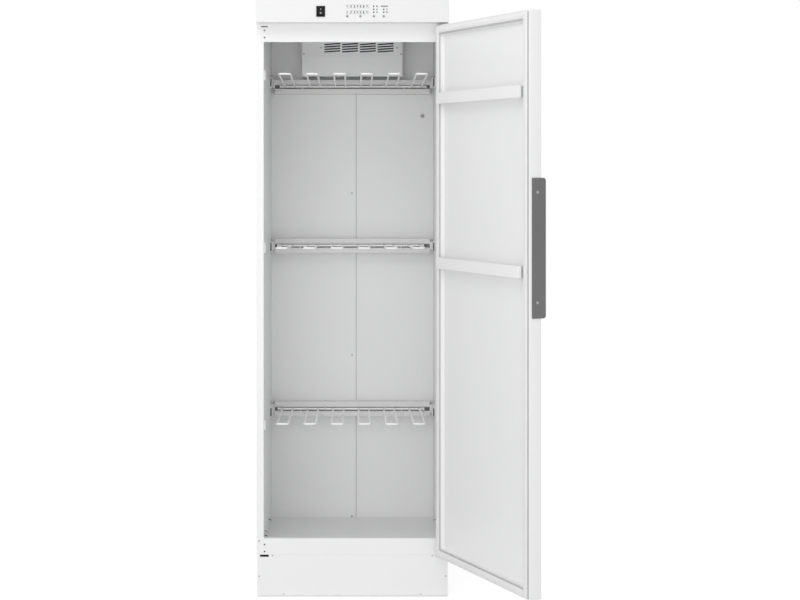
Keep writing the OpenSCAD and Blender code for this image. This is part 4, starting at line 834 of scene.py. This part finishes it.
# ---- Wall buffers and humidity sensor ----
# White plastic buffers are fixed to the side walls, and a sensor for moisture and heat, with a
# grey plastic cap, is plugged into the rear wall.
plastic_white = finish_of("white_plastic", (0.93, 0.93, 0.92), (0.9, 0.9, 0.89), 0.4, 0.05, 0.6 * MM,
                          0.02 * MM, patch=20)
sensor_grey = finish_of("sensor_grey", (0.42, 0.42, 0.425), (0.36, 0.36, 0.365), 0.5, 0.05, 0.5 * MM,
                        0.03 * MM, patch=40, shine=0.3)
dress("wall_buffers", plastic_white, 0.9 * MM, 3)
dress("humidity_sensor", sensor_grey, 0.9 * MM, 3)

# ---- Hinges ----
# Two steel plates are screwed behind the front frame, and their tongues stand out through its
# slots. The door turns on the tongues' pins in black plastic bushes.
for node in ("upper_hinge_plate", "lower_hinge_plate"):
    dress(node, galvanised, 0.6 * MM, 3)
screws_in_front("hinge_screws", 4 * MM, 1.2 * MM, screw_zinc)
dress("hinge_bushes", foot_rubber, 0.5 * MM)

# ---- Door ----
# The door is a folded white pan round a wool board, closed by a shallow inner pan. All of it is
# modelled shut and then swung open about the hinge pins.
hinge = next(j for j in frame["joints"] if j["name"] == "door_hinge")
PIN = Vector((hinge["pos_m"][0], hinge["pos_m"][1], 0))
SWING = math.radians(-hinge["range_deg"][0])
OPENED = Matrix.Translation(PIN) @ Matrix.Rotation(SWING, 4, "Z") @ Matrix.Translation(-PIN)

HALF_W = back_high.x
DOOR_GAP, DOOR_T = 6.4 * MM, 38 * MM
DOOR_BACK = FRAME_FACE - DOOR_GAP
DOOR_FRONT = DOOR_BACK - DOOR_T
door_low, door_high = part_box("door_outer_panel")
DOOR_RECT = (-HALF_W, door_low.z, HALF_W, door_high.z)
RIM_W, PAN_DEPTH, SKIN, EDGE_R = 31.4 * MM, 8.2 * MM, 1 * MM, 2.2 * MM
# Corner radii in the plane of the door: a sharp one, and the skin's outer one.
SHARP, CORNER = 0.1 * MM, 3 * MM


def hoop_round(rect, inset, radius, depth, steps=5):
    """The points of a rectangle with rounded corners, inset from rect, in the plane y = depth."""
    x0, z0, x1, z1 = rect[0] + inset, rect[1] + inset, rect[2] - inset, rect[3] - inset
    points = []
    for cx, cz, start in ((x1 - radius, z1 - radius, 0), (x0 + radius, z1 - radius, 90),
                          (x0 + radius, z0 + radius, 180), (x1 - radius, z0 + radius, 270)):
        for k in range(steps + 1):
            turn = math.radians(start + 90 * k / steps)
            points.append((cx + radius * math.cos(turn), depth, cz + radius * math.sin(turn)))
    return points


def folded(rect, profile, capped=(), ring=False):
    """Folds a sheet round rect. The profile is a list of (inset, depth, corner radius)."""
    shape = bmesh.new()
    hoops = [[shape.verts.new(p) for p in hoop_round(rect, inset, radius, depth)]
             for inset, depth, radius in profile]
    pairs = list(zip(hoops, hoops[1:])) + ([(hoops[-1], hoops[0])] if ring else [])
    for a, b in pairs:
        for k in range(len(a)):
            shape.faces.new((a[k], a[(k + 1) % len(a)], b[(k + 1) % len(a)], b[k]))
    for index in capped:
        shape.faces.new(hoops[index])
    return shape


def quarter(inset, depth, radius, start, corner, steps=4):
    """A fold of the given radius about (inset, depth), from the angle start through 90 degrees.
    The corner's own radius shrinks with the inset."""
    bend = []
    for k in range(steps + 1):
        turn = math.radians(start + 90 * k / steps)
        i, d = inset + radius * math.cos(turn), depth + radius * math.sin(turn)
        bend.append((i, d, max(corner - i, SHARP / 2)))
    return bend


# The skin runs from the rim's inner edge, over the door's edge and across its front. The flat
# field in front starts at FRONT_IN.
FRONT_IN = 12 * MM
outer_skin = ([(RIM_W, DOOR_BACK - SKIN, SHARP), (RIM_W, DOOR_BACK, SHARP),
               (EDGE_R + (RIM_W - EDGE_R) * 0.3, DOOR_BACK, SHARP)]
              + quarter(EDGE_R, DOOR_BACK - EDGE_R, EDGE_R, 90, CORNER)
              + quarter(EDGE_R, DOOR_FRONT + EDGE_R, EDGE_R, 180, CORNER)
              + [(FRONT_IN, DOOR_FRONT, SHARP)])
outer = folded(DOOR_RECT, outer_skin, capped=(-1,))
outer.transform(OPENED)
piece_of("door_skin", outer, white_enamel, "door", ["door_outer_panel"])

# The pan starts under the rim, rolls over the rim's inner edge and drops to its bottom.
PAN_Y, BEND = DOOR_BACK - PAN_DEPTH, 1.6 * MM
UNDER_RIM, FIELD_IN, PAN_CORNER, FIELD_CORNER = 9 * MM, 14 * MM, 4 * MM, 2 * MM
rolled = [(0, DOOR_BACK - 0.6 * MM), (0.15 * MM, DOOR_BACK - 0.2 * MM), (0.6 * MM, DOOR_BACK),
          (1.0 * MM, DOOR_BACK - 0.4 * MM), (1.2 * MM, PAN_Y + BEND), (1.5 * MM, PAN_Y + 0.5 * BEND),
          (2.1 * MM, PAN_Y + 0.12 * BEND), (3 * MM, PAN_Y)]
inner_pan = ([(RIM_W - UNDER_RIM, DOOR_BACK - 1.5 * SKIN, SHARP), (RIM_W, DOOR_BACK - 1.5 * SKIN, SHARP)]
             + [(RIM_W + inward, depth, PAN_CORNER) for inward, depth in rolled]
             + [(RIM_W + FIELD_IN, PAN_Y, FIELD_CORNER)])
pan = folded(DOOR_RECT, inner_pan, capped=(-1,))
pan.transform(OPENED)
piece_of("door_pan", pan, white_enamel, "door", ["door_inner_panel"])
dress("door_insulation", wool, 1.5 * MM)

# ---- Door seal ----
# A white rubber seal with a magnet in its crown is pressed into the rim, its corners welded. Thin
# bellows on both sides of the crown let it give.
seal_white = finish_of("seal_white", (0.83, 0.83, 0.825), (0.8, 0.8, 0.795), 0.55, 0.05, 0.6 * MM,
                       0.02 * MM, patch=15)
# The bellows' grey is painted shade on the white rubber, not the rubber's own colour.
bellows_painted_shade = finish_of("seal_bellows_painted_shade", (0.56, 0.56, 0.56), (0.5, 0.5, 0.5), 0.7, 0.05, 0.6 * MM,
                         0.03 * MM, patch=15)
SEAL_IN, SEAL_W, SEAL_CORNER = 2 * MM, 27 * MM, 6 * MM
# Half of the seal's outline in mm, from its foot to its crown: distance from its edge, and
# height. The bellows are the first points, up to the fold beside the crown.
half_seal = [(0, 0), (0, 1.5), (0.2, 2.8), (0.6, 3.5), (1.6, 3.6), (2.3, 3.3), (2.9, 2.5), (3.7, 2.5),
             (4.3, 3.6), (4.9, 4.5), (6.2, 4.85), (8.0, 5.2), (9.4, 5.75), (10.8, 6.0)]
BELLOWS_POINTS = 9
seal_half = [(SEAL_IN + i * MM, DOOR_BACK + h * MM, SEAL_CORNER) for i, h in half_seal]
seal_line = seal_half + [(2 * SEAL_IN + SEAL_W - i, h, r) for i, h, r in reversed(seal_half)]
gasket = folded(DOOR_RECT, seal_line, ring=True)
gasket.transform(OPENED)
seal_piece = piece_of("seal_gasket", gasket, seal_white, "door", ["door_seal"], sharp=50)
seal_piece.data.materials.append(bellows_painted_shade)
# The bellows' grey is painted shade for the folds that lie in shade: on the outside along the free edge,
# and on the inside elsewhere.
BELLOWS_W = half_seal[BELLOWS_POINTS - 1][0] * MM
shut = OPENED.inverted()
for face in seal_piece.data.polygons:
    lies = shut @ face.center
    free_side = lies.x - DOOR_RECT[0]
    inset = min(free_side, DOOR_RECT[2] - lies.x, lies.z - DOOR_RECT[1], DOOR_RECT[3] - lies.z)
    from_edge = inset - SEAL_IN if inset == free_side else SEAL_IN + SEAL_W - inset
    if from_edge < BELLOWS_W:
        face.material_index = 1

# ---- Door rails ----
# Two flat rails of white-coated strip cross the inside of the door. Their ends are bent back and
# stand on grey plastic spacers, clear of the inner pan.
for node in ("door_rail_upper", "door_rail_lower"):
    dress(node, wire_white, 0.8 * MM, 3)
spacer_grey = finish_of("spacer_grey", (0.5, 0.5, 0.505), (0.45, 0.45, 0.455), 0.5, 0.05, 0.6 * MM,
                        0.02 * MM, patch=30)
dress("door_rail_spacers", spacer_grey, 0.8 * MM)

# ---- Handle ----
# The handle is a grey-coated plate on the door's free edge that stands proud of the front, so
# that fingers can hook behind it. Two screws hold it.
handle_paint = finish_of("handle_grey", (0.15, 0.15, 0.152), (0.135, 0.135, 0.137), 0.45, 0.05,
                         0.9 * MM, 0.03 * MM, patch=8)
dress("door_handle", handle_paint, 0.8 * MM, 3)
HANDLE_Z, HANDLE_L, HANDLE_T = 911 * MM, 391 * MM, 2.5 * MM
SCREW_Y, SCREW_FOOT, SCREW_HEAD = DOOR_BACK - 24.6 * MM, 44 * MM, 40 * MM
handle_screws = bmesh.new()
for height in (HANDLE_Z + SCREW_FOOT, HANDLE_Z + HANDLE_L - SCREW_HEAD):
    cross_head(handle_screws, (-HALF_W - HANDLE_T, SCREW_Y, height), (-1, 0, 0), 4 * MM, 1.2 * MM)
handle_screws.transform(OPENED)
piece_of("handle_screws_crossed", handle_screws, screw_zinc, "door", ["handle_screws"])
